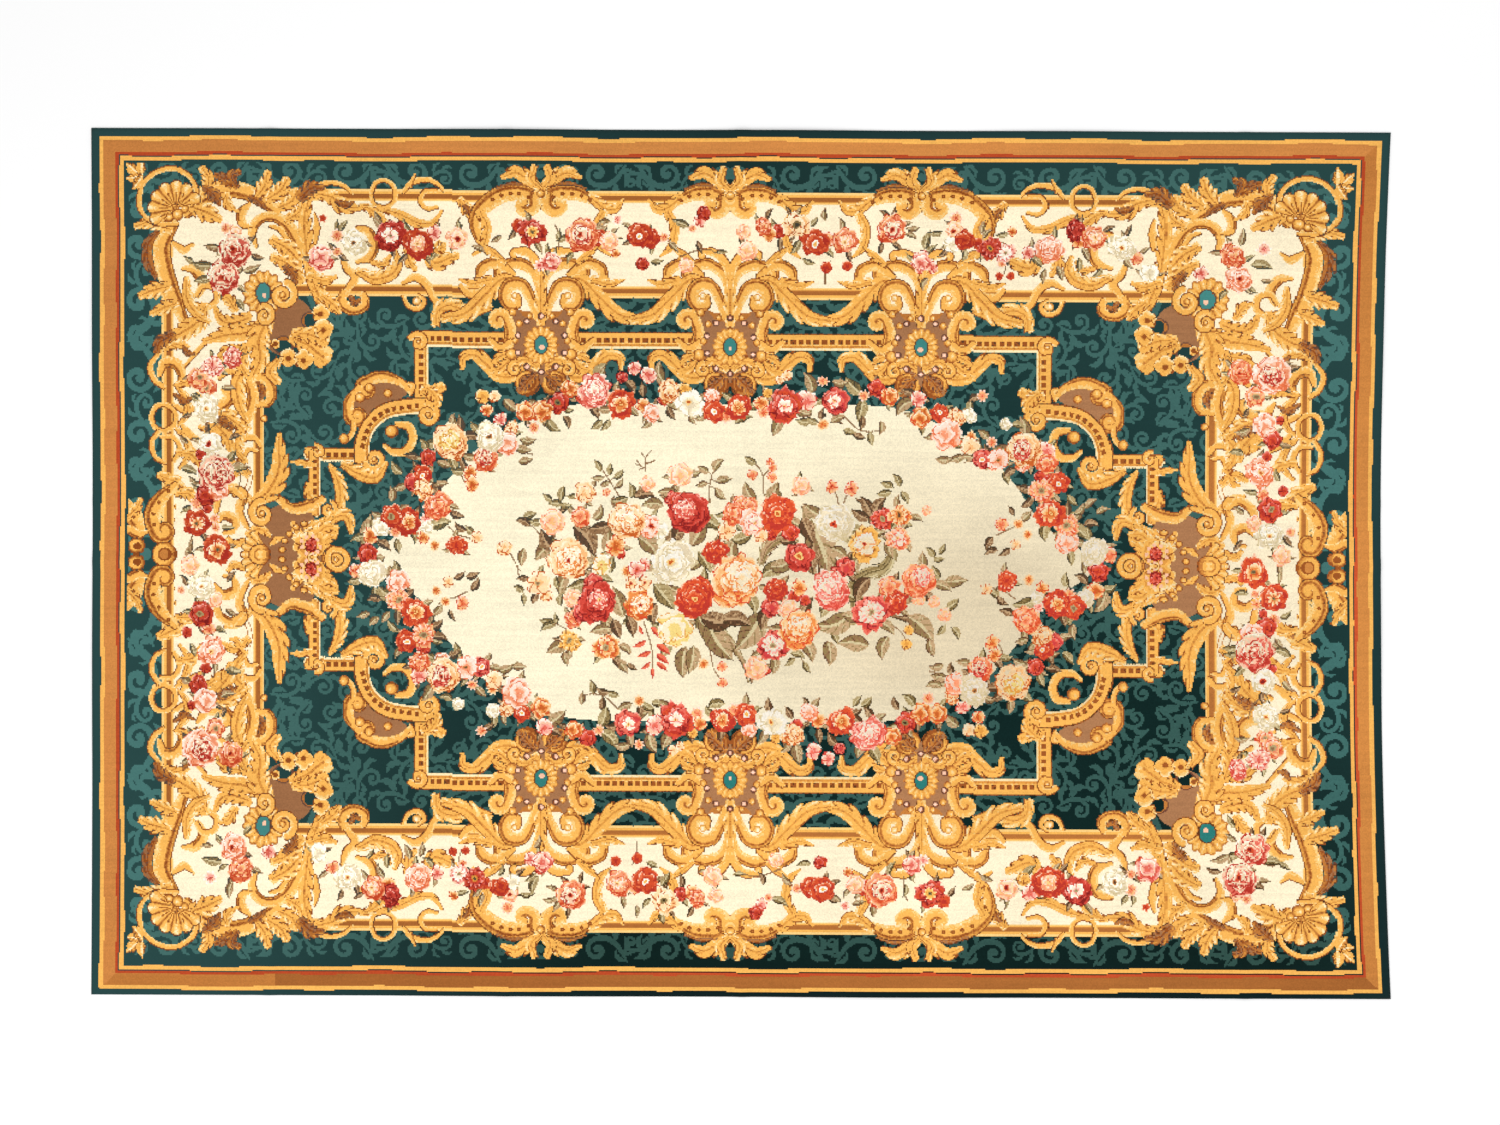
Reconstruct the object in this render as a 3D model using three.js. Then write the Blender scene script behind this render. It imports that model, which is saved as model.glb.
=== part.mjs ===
// A flat-woven wool rug, nine feet by six, lying face up on a floor.
// It is woven and hemmed in one piece, so it is one thin solid. The solid has the uneven outline
// of a hand-made rug, the soft ridges that storage folds have left in it, and edges that cockle a
// little off the floor. X runs along the rug, Y across it, and Z is up from the floor.
import * as THREE from 'three';

// Driving dimensions, in millimetres.
const LENGTH = 2743;
const WIDTH = 1829;
const THICKNESS = 4;

// The outline, as it departs from a true rectangle.
const SKEW = 10; // how much lower the right end lies than the left end
const RIGHT_SIDE_DRAWN_IN = 22; // at the middle of the right side
const LEFT_SIDE_DRAWN_IN = 3; // at the middle of the left side

// The grid that carries the cloth.
const GRID_PITCH = 110; // between grid lines on plain cloth
const CREASE_HALF_WIDTH = 26; // from a fold's ridge to flat cloth

// Storage folds that run across the rug, with their place along X, and along it, with their place
// along Y. Each is a ridge of the height given.
const FOLDS_ACROSS = [
  { at: -995, height: 2.0 },
  { at: -498, height: 1.7 },
  { at: 0, height: 2.5 },
  { at: 1064, height: 2.0 },
];
const FOLDS_ALONG = [
  { at: 0, height: 2.1 },
  { at: 129, height: 1.4 },
];

// How each side cockles: how many waves it has, how high they lift, and where the first one starts.
const EDGE_REACH = 260; // how far in from the side the cloth is lifted
const EDGE_WAVES = {
  front: { waves: 3.5, height: 5.0, start: 0.35 },
  back: { waves: 4.5, height: 5.5, start: 0.1 },
  left: { waves: 2.5, height: 5.0, start: 0.55 },
  right: { waves: 3.0, height: 4.5, start: 0.2 },
};

// The rug's own weight presses it flat wherever it would stand less than this off the floor.
const PRESSED_FLAT = 0.6;

/** Grid lines over a span, evenly pitched, with one on each fold and one on each side of it. */
function gridLines(span, folds) {
  const cells = Math.round(span / GRID_PITCH);
  const lines = new Set();
  for (let i = 0; i <= cells; i += 1) {
    const line = (i / cells - 0.5) * span;
    const near = folds.some((fold) => Math.abs(fold.at - line) < CREASE_HALF_WIDTH * 1.6);
    if (!near) lines.add(line);
  }
  for (const fold of folds) {
    for (const side of [-1, 0, 1]) lines.add(fold.at + side * CREASE_HALF_WIDTH);
  }
  return [...lines].sort((a, b) => a - b);
}

/** 1 at zero, easing down to 0 at the reach and beyond. */
function fade(distance, reach) {
  const share = Math.min(Math.max(1 - distance / reach, 0), 1);
  return share * share * (3 - 2 * share);
}

/** How high a row of parallel folds lifts the cloth, at a place measured across them. */
function foldHeight(place, folds) {
  return folds.reduce((sum, fold) => sum + fold.height * fade(Math.abs(place - fold.at), CREASE_HALF_WIDTH), 0);
}

/** How high one side lifts, at a share of the way along it and a distance in from it. */
function edgeHeight(wave, share, distance) {
  const crest = Math.sin(Math.PI * (wave.waves * share + wave.start));
  const awayFromCorners = Math.sin(Math.PI * share);
  return wave.height * crest * crest * awayFromCorners * fade(distance, EDGE_REACH);
}

/** The height of the cloth's underside over a point of the flat weave. */
function liftAt(x, y) {
  const alongX = x / LENGTH + 0.5;
  const alongY = y / WIDTH + 0.5;
  const relaxed =
    foldHeight(x, FOLDS_ACROSS) +
    foldHeight(y, FOLDS_ALONG) +
    edgeHeight(EDGE_WAVES.front, alongX, WIDTH / 2 + y) +
    edgeHeight(EDGE_WAVES.back, alongX, WIDTH / 2 - y) +
    edgeHeight(EDGE_WAVES.left, alongY, LENGTH / 2 + x) +
    edgeHeight(EDGE_WAVES.right, alongY, LENGTH / 2 - x);
  return Math.max(relaxed - PRESSED_FLAT, 0);
}

/** Where a point of the flat weave lies on the floor plan. */
function planAt(x, y) {
  const u = x / (LENGTH / 2);
  const v = y / (WIDTH / 2);
  const bow = 1 - v * v;
  const drawnIn = u > 0 ? -RIGHT_SIDE_DRAWN_IN * bow * u * u : LEFT_SIDE_DRAWN_IN * bow * u * u;
  return [x + drawnIn, y - (SKEW / 2) * u];
}

/** The closed sheet: a top skin and an underside on one grid, joined by a rim. */
function sheetGeometry(columns, rows) {
  const positions = [];
  for (const layer of [0, THICKNESS]) {
    for (const y of rows) {
      for (const x of columns) {
        const [px, py] = planAt(x, y);
        positions.push(px, py, liftAt(x, y) + layer);
      }
    }
  }
  const across = columns.length;
  const layerSize = across * rows.length;
  const under = (i, j) => j * across + i;
  const over = (i, j) => layerSize + under(i, j);
  const faces = [];
  const quad = (a, b, c, d) => faces.push(a, b, c, a, c, d);
  for (let j = 0; j + 1 < rows.length; j += 1) {
    for (let i = 0; i + 1 < across; i += 1) {
      quad(over(i, j), over(i + 1, j), over(i + 1, j + 1), over(i, j + 1));
      quad(under(i, j), under(i, j + 1), under(i + 1, j + 1), under(i + 1, j));
    }
  }
  const lastRow = rows.length - 1;
  const lastColumn = across - 1;
  for (let i = 0; i < lastColumn; i += 1) {
    quad(under(i, 0), under(i + 1, 0), over(i + 1, 0), over(i, 0));
    quad(under(i + 1, lastRow), under(i, lastRow), over(i, lastRow), over(i + 1, lastRow));
  }
  for (let j = 0; j < lastRow; j += 1) {
    quad(under(lastColumn, j), under(lastColumn, j + 1), over(lastColumn, j + 1), over(lastColumn, j));
    quad(under(0, j + 1), under(0, j), over(0, j), over(0, j + 1));
  }
  const geometry = new THREE.BufferGeometry();
  geometry.setAttribute('position', new THREE.Float32BufferAttribute(positions, 3));
  geometry.setIndex(faces);
  return geometry;
}

/** Moves a shape so that the middle of its underside's box is the origin. */
function seatOnFloor(geometry) {
  geometry.computeBoundingBox();
  const { min, max } = geometry.boundingBox;
  geometry.translate(-(min.x + max.x) / 2, -(min.y + max.y) / 2, -min.z);
  geometry.computeVertexNormals();
  return geometry;
}

const wool = new THREE.MeshStandardMaterial({ color: 0x1d4f4c, roughness: 0.95, metalness: 0 });
const sheet = sheetGeometry(gridLines(LENGTH, FOLDS_ACROSS), gridLines(WIDTH, FOLDS_ALONG));
const rug = new THREE.Mesh(seatOnFloor(sheet), wool);
rug.name = 'rug';

const part = new THREE.Group();
part.add(rug);

export default part;
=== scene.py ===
"""Dresses a nine by six foot flat-woven wool rug, lying face up on a pale floor.

The design is worked out stitch by stitch, at ten stitches to the inch, and carried by the rug's own mesh:
each face of it holds the yarn numbers of the sixteen stitches that it covers.
"""

import logging
import math
from collections.abc import Sequence
from dataclasses import dataclass, replace
from enum import Enum, IntEnum

import bpy
import numpy as np
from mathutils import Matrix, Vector


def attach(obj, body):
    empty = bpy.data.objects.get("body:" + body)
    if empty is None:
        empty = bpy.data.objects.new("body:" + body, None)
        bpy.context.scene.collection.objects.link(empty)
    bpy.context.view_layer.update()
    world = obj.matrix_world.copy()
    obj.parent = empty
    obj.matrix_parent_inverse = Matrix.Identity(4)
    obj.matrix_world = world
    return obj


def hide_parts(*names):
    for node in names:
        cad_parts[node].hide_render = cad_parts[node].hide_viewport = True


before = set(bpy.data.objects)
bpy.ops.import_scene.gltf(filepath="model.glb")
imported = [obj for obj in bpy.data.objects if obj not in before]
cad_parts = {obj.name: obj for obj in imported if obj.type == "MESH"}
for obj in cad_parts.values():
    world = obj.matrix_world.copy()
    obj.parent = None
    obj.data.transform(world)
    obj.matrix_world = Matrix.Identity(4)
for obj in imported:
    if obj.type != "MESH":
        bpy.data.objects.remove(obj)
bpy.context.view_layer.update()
log = logging.getLogger("rug")


class Yarn(IntEnum):
    """The dyed wools of the rug: each one's number on the cartoon, then its display colour out of 255."""

    def __new__(cls, number: int, *dye: int) -> "Yarn":
        """Makes a member that counts as its number and holds its dye.

        Args:
            number: Its number on the cartoon.
            *dye: Its red, green and blue.

        Returns:
            The member.
        """
        member = int.__new__(cls, number)
        member._value_ = number
        member.dye = dye
        return member

    GROUND = 0, 11, 36, 34
    DAMASK = 1, 53, 88, 82
    STRIPE = 3, 210, 137, 68
    STRIPE_RED = 4, 205, 84, 46
    LINE = 5, 243, 180, 90
    UMBER = 6, 98, 54, 26
    RUST = 7, 158, 86, 38
    TOFFEE = 8, 196, 124, 58
    OCHRE = 9, 222, 152, 68
    GOLD = 10, 244, 180, 88
    STRAW = 11, 250, 206, 130
    BUTTER = 12, 255, 232, 182
    MAUVE = 13, 171, 120, 81
    MAUVE_DEEP = 14, 112, 68, 52
    CREAM = 15, 253, 238, 204
    IVORY = 16, 249, 238, 206
    SHELL = 17, 230, 212, 178
    WINE = 18, 140, 36, 34
    CRIMSON = 19, 190, 57, 44
    SCARLET = 20, 216, 81, 46
    CORAL = 21, 233, 117, 74
    SALMON = 22, 243, 152, 112
    BLUSH = 23, 251, 196, 164
    PETAL = 24, 255, 226, 208
    MAGENTA = 25, 205, 66, 66
    ROSE = 26, 231, 111, 92
    PINK = 27, 245, 164, 148
    BURNT = 28, 202, 98, 42
    ORANGE = 29, 233, 140, 72
    PEACH = 30, 246, 186, 124
    APRICOT = 31, 254, 218, 168
    WHITE = 32, 255, 249, 234
    BARK = 33, 70, 54, 32
    OLIVE = 34, 108, 89, 50
    MOSS = 35, 147, 124, 79
    SAGE = 36, 181, 159, 112
    PALE_SAGE = 37, 214, 198, 154
    COCOA = 38, 96, 64, 42
    TAUPE = 39, 146, 110, 76
    FAWN = 40, 192, 158, 118
    TEAL = 42, 44, 124, 118
    LEMON = 43, 240, 212, 130
    # The next two are a lighter and a darker copy of the stripe's brown. They put painted light on some
    # sides of the brown band and painted shade on its lower side, and the darker one also fills the
    # mouldings' brown hollows.
    STRIPE_PALE = 44, 220, 146, 77
    STRIPE_DEEP = 45, 180, 112, 55
    CERISE = 46, 213, 76, 62
    SELVEDGE = 47, 12, 36, 38
    SAND = 48, 214, 194, 150
    DAMASK_PALE = 49, 58, 101, 96


Point = tuple[float, float]
Ramp = tuple[Yarn, ...]
Triple = tuple[float, float, float]
Colour = tuple[float, float, float, float]

GILT: Ramp = (
    Yarn.UMBER, Yarn.RUST, Yarn.TOFFEE, Yarn.OCHRE, Yarn.GOLD, Yarn.GOLD, Yarn.GOLD, Yarn.STRAW,
    Yarn.BUTTER,
)
GILT_SOFT: Ramp = (Yarn.RUST, Yarn.TOFFEE, Yarn.OCHRE, Yarn.GOLD, Yarn.GOLD, Yarn.STRAW, Yarn.BUTTER)
BRONZE: Ramp = (Yarn.UMBER, Yarn.MAUVE_DEEP, Yarn.RUST, Yarn.MAUVE, Yarn.TOFFEE, Yarn.OCHRE)
GREENERY: Ramp = (Yarn.BARK, Yarn.OLIVE, Yarn.MOSS, Yarn.SAGE, Yarn.PALE_SAGE)
AUTUMN: Ramp = (Yarn.COCOA, Yarn.TAUPE, Yarn.MOSS, Yarn.FAWN, Yarn.PALE_SAGE)
DUSK: Ramp = (Yarn.BARK, Yarn.COCOA, Yarn.TAUPE, Yarn.FAWN)


class Tint(Enum):
    """The shaded sets of yarn that flowers are worked in, from their depths to their rims."""

    CRIMSON = (Yarn.WINE, Yarn.CRIMSON, Yarn.SCARLET, Yarn.CERISE, Yarn.ROSE, Yarn.PINK)
    SCARLET = (Yarn.CRIMSON, Yarn.CRIMSON, Yarn.SCARLET, Yarn.SCARLET, Yarn.CORAL, Yarn.BLUSH)
    CERISE = (Yarn.WINE, Yarn.CRIMSON, Yarn.CERISE, Yarn.CERISE, Yarn.ROSE, Yarn.PINK)
    CORAL = (Yarn.SCARLET, Yarn.CORAL, Yarn.SALMON, Yarn.PEACH, Yarn.BLUSH, Yarn.PETAL)
    BLUSH = (Yarn.CORAL, Yarn.SALMON, Yarn.BLUSH, Yarn.PETAL, Yarn.PETAL, Yarn.WHITE)
    MAGENTA = (Yarn.WINE, Yarn.MAGENTA, Yarn.CERISE, Yarn.ROSE, Yarn.ROSE, Yarn.PINK)
    PINK = (Yarn.CERISE, Yarn.ROSE, Yarn.PINK, Yarn.BLUSH, Yarn.PETAL, Yarn.WHITE)
    ORANGE = (Yarn.SCARLET, Yarn.BURNT, Yarn.ORANGE, Yarn.PEACH, Yarn.APRICOT, Yarn.CREAM)
    PEACH = (Yarn.BURNT, Yarn.PEACH, Yarn.APRICOT, Yarn.APRICOT, Yarn.CREAM, Yarn.CREAM)
    WHITE = (Yarn.SAND, Yarn.SHELL, Yarn.CREAM, Yarn.WHITE, Yarn.WHITE, Yarn.WHITE)
    PALE = (Yarn.ROSE, Yarn.PINK, Yarn.PETAL, Yarn.CREAM, Yarn.WHITE, Yarn.WHITE)
    GLOW = (Yarn.ORANGE, Yarn.APRICOT, Yarn.CREAM, Yarn.CREAM, Yarn.WHITE, Yarn.WHITE)
    LEMON = (Yarn.OCHRE, Yarn.LEMON, Yarn.LEMON, Yarn.CREAM, Yarn.CREAM, Yarn.WHITE)
    GILT = (Yarn.RUST, Yarn.OCHRE, Yarn.GOLD, Yarn.GOLD, Yarn.STRAW, Yarn.BUTTER)
    CAMEO = (Yarn.CRIMSON, Yarn.ROSE, Yarn.BLUSH, Yarn.SHELL, Yarn.CREAM, Yarn.WHITE)
    HAZE = (Yarn.SALMON, Yarn.PEACH, Yarn.BLUSH, Yarn.APRICOT, Yarn.PETAL, Yarn.CREAM)
    RUFFLE = (Yarn.SCARLET, Yarn.ORANGE, Yarn.PEACH, Yarn.APRICOT, Yarn.APRICOT, Yarn.CREAM)


class Heart(Enum):
    """The hearts of flowers: the yarn of the eye and that of the ring round it."""

    NONE = ()
    GOLD = (Yarn.OLIVE, Yarn.OCHRE)
    OLIVE = (Yarn.BARK, Yarn.MOSS)
    PALE = (Yarn.GOLD, Yarn.WHITE)
    RED = (Yarn.WINE, Yarn.SCARLET)
    GREY = (Yarn.TAUPE, Yarn.SAGE)
    BROWN = (Yarn.COCOA, Yarn.TOFFEE)
    SUNNY = (Yarn.BURNT, Yarn.STRAW)


class Bloom(Enum):
    """Flower forms: rings from the outside in, each its share of the radius, petals and ripple."""

    ROSE = ((1.0, 6, 0.10), (0.80, 5, 0.12), (0.58, 4, 0.12), (0.38, 3, 0.12), (0.20, 3, 0.05))
    PEONY = ((1.0, 9, 0.12), (0.82, 7, 0.14), (0.62, 6, 0.16), (0.42, 5, 0.16))
    ASTER = ((1.0, 13, 0.16), (0.66, 11, 0.18))
    DAISY = ((1.0, 8, 0.20),)
    POPPY = ((1.0, 5, 0.13), (0.66, 4, 0.14))
    STAR = ((1.0, 5, 0.30),)


def trace(points: Sequence[Point], step: float = 0.18) -> np.ndarray:
    """Runs a smooth line through a few points, as a Catmull-Rom curve with even steps.

    Args:
        points: The places that the line passes through, in centimetres.
        step: The distance between the places that are given back.

    Returns:
        The line's places, one row each.
    """
    knots = np.asarray(points, float)
    knots = np.vstack([2 * knots[0] - knots[1], knots, 2 * knots[-1] - knots[-2]])
    place = np.linspace(0, len(points) - 1, 14 * (len(points) - 1) + 1)
    start = np.minimum(place.astype(int), len(points) - 2)
    f = (place - start)[:, None]
    a, b, c, d = (knots[start + k] for k in range(4))
    line = 0.5 * (2 * b + (c - a) * f + (2 * a - 5 * b + 4 * c - d) * f**2 + (3 * b - a - 3 * c + d) * f**3)
    return even(line, step)


def even(line: np.ndarray, step: float = 0.18) -> np.ndarray:
    """Gives a line's places again at even steps along it.

    Args:
        line: The line's places.
        step: The distance between the new places.

    Returns:
        The new places.
    """
    run = np.concatenate([[0], np.cumsum(np.hypot(*np.diff(line, axis=0).T))])
    marks = np.linspace(0, run[-1], max(int(run[-1] / step), 4) + 1)
    return np.column_stack([np.interp(marks, run, line[:, k]) for k in (0, 1)])


def curled(line: np.ndarray, radius: float, turns: float, side: int) -> np.ndarray:
    """Ends a line in a spiral whose radius shrinks evenly with the angle.

    Args:
        line: The line's places.
        radius: The spiral's first radius.
        turns: How many times it goes round.
        side: 1 where it curls to the left of the line, -1 to the right.

    Returns:
        The places of the line and its spiral.
    """
    ahead = line[-1] - line[-3]
    ahead = ahead / np.hypot(*ahead)
    centre = line[-1] + side * radius * np.array([-ahead[1], ahead[0]])
    first = math.atan2(*(line[-1] - centre)[::-1])
    share = np.linspace(0, 1, int(40 * turns) + 4)[1:]
    angle = first + side * 2 * math.pi * turns * share
    reach = radius * (1 - 0.86 * share)
    spiral = centre + reach[:, None] * np.column_stack([np.cos(angle), np.sin(angle)])
    return even(np.vstack([line, spiral]))


@dataclass(frozen=True)
class Flower:
    """One flower: its place, reach, form, yarns and heart."""

    x: float
    y: float
    radius: float
    form: Bloom
    tint: Tint
    heart: Heart = Heart.NONE


@dataclass
class Patch:
    """A window of the cartoon, with the centimetre place of each of its stitches."""

    rows: slice
    columns: slice
    x: np.ndarray
    y: np.ndarray


@dataclass
class Stroke:
    """A brush stroke's own coordinates over a patch: along it from 0 to 1, and across it from -1 to 1."""

    patch: Patch
    inside: np.ndarray
    along: np.ndarray
    across: np.ndarray
    half: np.ndarray
    length: float


class Cartoon:
    """The design painted stitch by stitch, each stitch holding the number of its yarn."""

    DENTIL_PITCH: float = 1.62
    DISC_LIGHT: float = 0.175

    def __init__(self, columns: int, rows: int, pitch: float, seed: int) -> None:
        """Lays out a plain ground.

        Args:
            columns: Stitches along the rug.
            rows: Stitches across it.
            pitch: A stitch's width, in centimetres.
            seed: The start of the random numbers behind the hatching.
        """
        self.pitch = pitch
        self.random = np.random.default_rng(seed)
        self.x = (np.arange(columns) + 0.5 - columns / 2) * pitch
        self.y = (np.arange(rows) + 0.5 - rows / 2) * pitch
        self.yarn = np.full((rows, columns), Yarn.GROUND, np.uint8)
        coarse = self.random.random((rows // 2 + 2, columns // 2 + 2))
        self.grain = 0.5 * self.random.random((rows, columns))
        self.grain += 0.5 * np.kron(coarse, np.ones((2, 2)))[:rows, :columns]

    def patch(self, x0: float, y0: float, x1: float, y1: float) -> Patch:
        """Finds the stitches inside a box.

        Args:
            x0: Left side, in centimetres.
            y0: Lower side.
            x1: Right side.
            y1: Upper side.

        Returns:
            The window and its places.
        """
        columns = slice(*np.searchsorted(self.x, (x0, x1)))
        rows = slice(*np.searchsorted(self.y, (y0, y1)))
        x, y = np.meshgrid(self.x[columns], self.y[rows])
        return Patch(rows, columns, x, y)

    def lay(self, patch: Patch, inside: np.ndarray, yarn: np.ndarray | int) -> None:
        """Works the stitches of a patch that lie inside a shape."""
        view = self.yarn[patch.rows, patch.columns]
        view[inside] = yarn[inside] if isinstance(yarn, np.ndarray) else yarn

    def shade(self, patch: Patch, value: np.ndarray, ramp: Ramp, hatch: float = 0.22) -> np.ndarray:
        """Turns a value from 0 to 1 into a ramp's yarns, which the grain roughens as hatched weaving is."""
        rough = value + hatch * (self.grain[patch.rows, patch.columns] - 0.5)
        return np.array(ramp, np.uint8)[np.clip((rough * len(ramp)).astype(int), 0, len(ramp) - 1)]

    def stroke(self, line: np.ndarray, half: Sequence[float]) -> Stroke:
        """Finds a brush stroke's own coordinates: the nearest place on its line gives them.

        Args:
            line: The places along the stroke.
            half: Half its width at even shares of its length.

        Returns:
            The stroke's coordinates, and the stitches inside it.
        """
        share = np.linspace(0, 1, len(line))
        halves = np.interp(share, np.linspace(0, 1, len(half)), half)
        reach = halves.max() + self.pitch
        patch = self.patch(*(line.min(0) - reach), *(line.max(0) + reach))
        ahead = np.gradient(line, axis=0)
        ahead /= np.maximum(np.hypot(*ahead.T), 1e-9)[:, None]
        gap = (patch.x[..., None] - line[:, 0]) ** 2 + (patch.y[..., None] - line[:, 1]) ** 2
        near = gap.argmin(-1)
        dx = patch.x - line[near, 0]
        dy = patch.y - line[near, 1]
        across = (ahead[near, 0] * dy - ahead[near, 1] * dx) / halves[near]
        distance = np.sqrt(gap.min(-1)) / halves[near]
        across = np.where(distance > np.abs(across) + 0.3, np.sign(across + 1e-9) * distance, across)
        length = float(np.hypot(*np.diff(line, axis=0).T).sum())
        return Stroke(patch, distance <= 1, share[near], across, halves[near], length)

    def band(self, line: np.ndarray, half: Sequence[float], yarn: int) -> None:
        """Paints a plain stroke in one yarn."""
        made = self.stroke(line, half)
        self.lay(made.patch, made.inside, yarn)

    def scroll(self, line: np.ndarray, half: Sequence[float], light: int = 1, ramp: Ramp = GILT) -> None:
        """Paints a carved scroll: dark at its rims, lit towards one side, grooved along where it is broad.

        Args:
            line: The places along it.
            half: Half its width at even shares of its length.
            light: 1 where its left side is the light one, -1 for the right.
            ramp: Its yarns, dark to light.
        """
        made = self.stroke(line, half)
        groove = np.exp(-(((made.across * light + 0.45) / 0.22) ** 2)) * (made.half > 1.0)
        value = 0.64 + 0.24 * light * made.across - 0.34 * groove
        rim = np.abs(made.across) > 1 - 0.25 / np.maximum(made.half, 0.4)
        value = np.where(rim, np.where(made.across * light < 0, 0.15, 0.80), value)
        self.lay(made.patch, made.inside, self.shade(made.patch, value, ramp))

    def acanthus(
        self,
        line: np.ndarray,
        half: Sequence[float],
        lobes: int,
        side: int = 0,
        ramp: Ramp = GILT,
        slant: float = 1.1,
    ) -> None:
        """Paints a carved leaf: lobes that lean to its tip, each dark behind and light in front.

        Args:
            line: The places along its rib.
            half: Half its width at even shares of its length.
            lobes: How many lobes it has on a side.
            side: 1 or -1 where only its left or right side is lobed, 0 for both.
            ramp: Its yarns, dark to light.
            slant: How far the lobes lean.
        """
        made = self.stroke(line, half)
        depth = np.abs(made.across)
        phase = np.mod(lobes * made.along - slant * depth**1.4 + 0.1, 1)
        limit = 0.60 + 0.40 * np.sin(np.pi * phase) ** 0.6
        plain = (made.across * side < 0) if side else np.zeros_like(depth, bool)
        limit = np.where(plain, 0.66, limit)
        lit = made.across
        value = 0.66 + 0.13 * lit + 0.26 * depth * np.exp(-(((phase - 0.6) / 0.2) ** 2))
        gap = np.minimum(phase, 1.25 - 1.25 * phase) * made.length / lobes
        value = np.where((gap < 0.34) & (depth > 0.42) & ~plain, 0.27, value)
        value = np.where((depth < 0.10) & (made.half > 0.8), 0.36, value)
        value = np.where((lit < -0.2) & (lit > -0.55), value - 0.16, value)
        rim = depth > limit - 0.2 / np.maximum(made.half, 0.45)
        value = np.where(rim, np.where(lit < 0, 0.15, 0.5), value)
        self.lay(made.patch, made.inside & (depth <= limit), self.shade(made.patch, value, ramp, 0.15))

    def dentils(self, line: np.ndarray, half: float) -> None:
        """Paints a gilt bar with a row of sunk brown squares along its middle.

        Args:
            line: The places along it.
            half: Half its width.
        """
        made = self.stroke(line, (half, half))
        value = 0.72 - 0.1 * made.across
        value = np.where(np.abs(made.across + 0.62) < 0.14, 0.35, value)
        value = np.where(made.across > 0.8, 0.12, value)
        value = np.where(made.across < -0.8, 0.93, value)
        run = made.along * made.length
        beside = np.abs(np.mod(run, self.DENTIL_PITCH) - self.DENTIL_PITCH / 2)
        square = (beside < 0.5) & (np.abs(made.across + 0.08) * half < 0.5)
        value = np.where(square & (run > 1.2) & (run < made.length - 1.2), 0.14, value)
        self.lay(made.patch, made.inside, self.shade(made.patch, value, GILT, 0.12))

    def disc(self, x: float, y: float, rx: float, ry: float, ramp: Ramp = GILT) -> None:
        """Paints a boss: an oval lit from the upper left, dark at its rim.

        Args:
            x: Its middle along the rug.
            y: Its middle across the rug.
            rx: Half its width.
            ry: Half its height.
            ramp: Its yarns, dark to light.
        """
        patch = self.patch(x - rx, y - ry, x + rx, y + ry)
        u = (patch.x - x) / rx
        v = (patch.y - y) / ry
        reach = np.hypot(u, v)
        value = 0.95 - 0.75 * np.hypot(u + self.DISC_LIGHT, v - self.DISC_LIGHT)
        value = np.where(reach > 1 - 0.24 / min(rx, ry), 0.14, value)
        self.lay(patch, reach <= 1, self.shade(patch, value, ramp, 0.15))

    def sway(self, patch: Patch, reach: float) -> tuple[np.ndarray, np.ndarray]:
        """Works out how far hand drawing strays at each stitch: two sums of slow waves.

        Args:
            patch: The stitches.
            reach: How far it strays, in centimetres.

        Returns:
            How far it strays along and across the rug.
        """
        x, y = patch.x, patch.y
        along = np.sin(1.9 * x + 0.7 * y + 1) + np.sin(0.9 * x - 2.3 * y) + np.sin(3.1 * y - 1.2 * x + 2)
        across = np.sin(2.1 * y + 0.8 * x + 4) + np.sin(1.1 * y - 2 * x) + np.sin(2.9 * x + 1.4 * y + 1)
        return reach * along / 2, reach * across / 2

    def flower(self, one: Flower, turn: float = 0.1) -> None:
        """Paints a flower: rings of uneven petals, each dark inside and light at its rim.

        Args:
            one: The flower.
            turn: How far it is turned, in turns.
        """
        x, y, radius, form, tint = one.x, one.y, one.radius, one.form, one.tint
        patch = self.patch(x - radius * 1.3, y - radius * 1.3, x + radius * 1.3, y + radius * 1.3)
        stray_x, stray_y = self.sway(patch, 0.07 * min(radius, 3.2))
        dx = patch.x - x + stray_x
        dy = patch.y - y + stray_y
        for order, (share, petals, ripple) in enumerate(form.value):
            shift = 0.10 * radius * (1 - share)
            near_x = dx - shift * math.cos(9 * turn)
            near_y = dy - shift * math.sin(9 * turn)
            reach = radius * share
            first = 2 * math.pi * turn + 1.3 * order
            inner = form.value[order + 1][0] / share if order + 1 < len(form.value) else 0.25
            if reach * math.sin(math.pi / petals) > 0.5:
                for petal in (*range(0, petals, 2), *range(1, petals, 2)):
                    length = reach * (1.02 + 0.12 * math.cos(5.1 * petal + 9 * turn))
                    angle = first + 2 * math.pi * (petal + 0.16 * math.cos(7 * petal)) / petals
                    half = 1.14 * math.sin(math.pi / petals)
                    self.petal(patch, (near_x, near_y), (angle, length, half, inner), tint,
                               form is Bloom.ASTER)
                continue
            angle = np.arctan2(near_y, near_x) + first
            wave = np.cos(petals * angle)
            fall = np.hypot(near_x, near_y) / (reach * (1 + ripple * wave))
            value = 0.16 + 0.7 * np.clip(fall, 0, 1) - 0.04 * order + 0.10 * wave
            value = np.where((wave < -0.76) & (fall > 0.3), value - 0.32, value)
            self.lay(patch, fall <= 1, self.shade(patch, value, tint.value, 0.15))
        if one.heart is not Heart.NONE:
            eye, ring = one.heart.value
            size = radius * (0.28 if form in (Bloom.ASTER, Bloom.POPPY, Bloom.STAR) else 0.18)
            self.lay(patch, np.hypot(dx, dy) <= max(size, 0.36), int(ring))
            self.lay(patch, np.hypot(dx, dy) <= max(size * 0.55, 0.2), int(eye))

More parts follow.
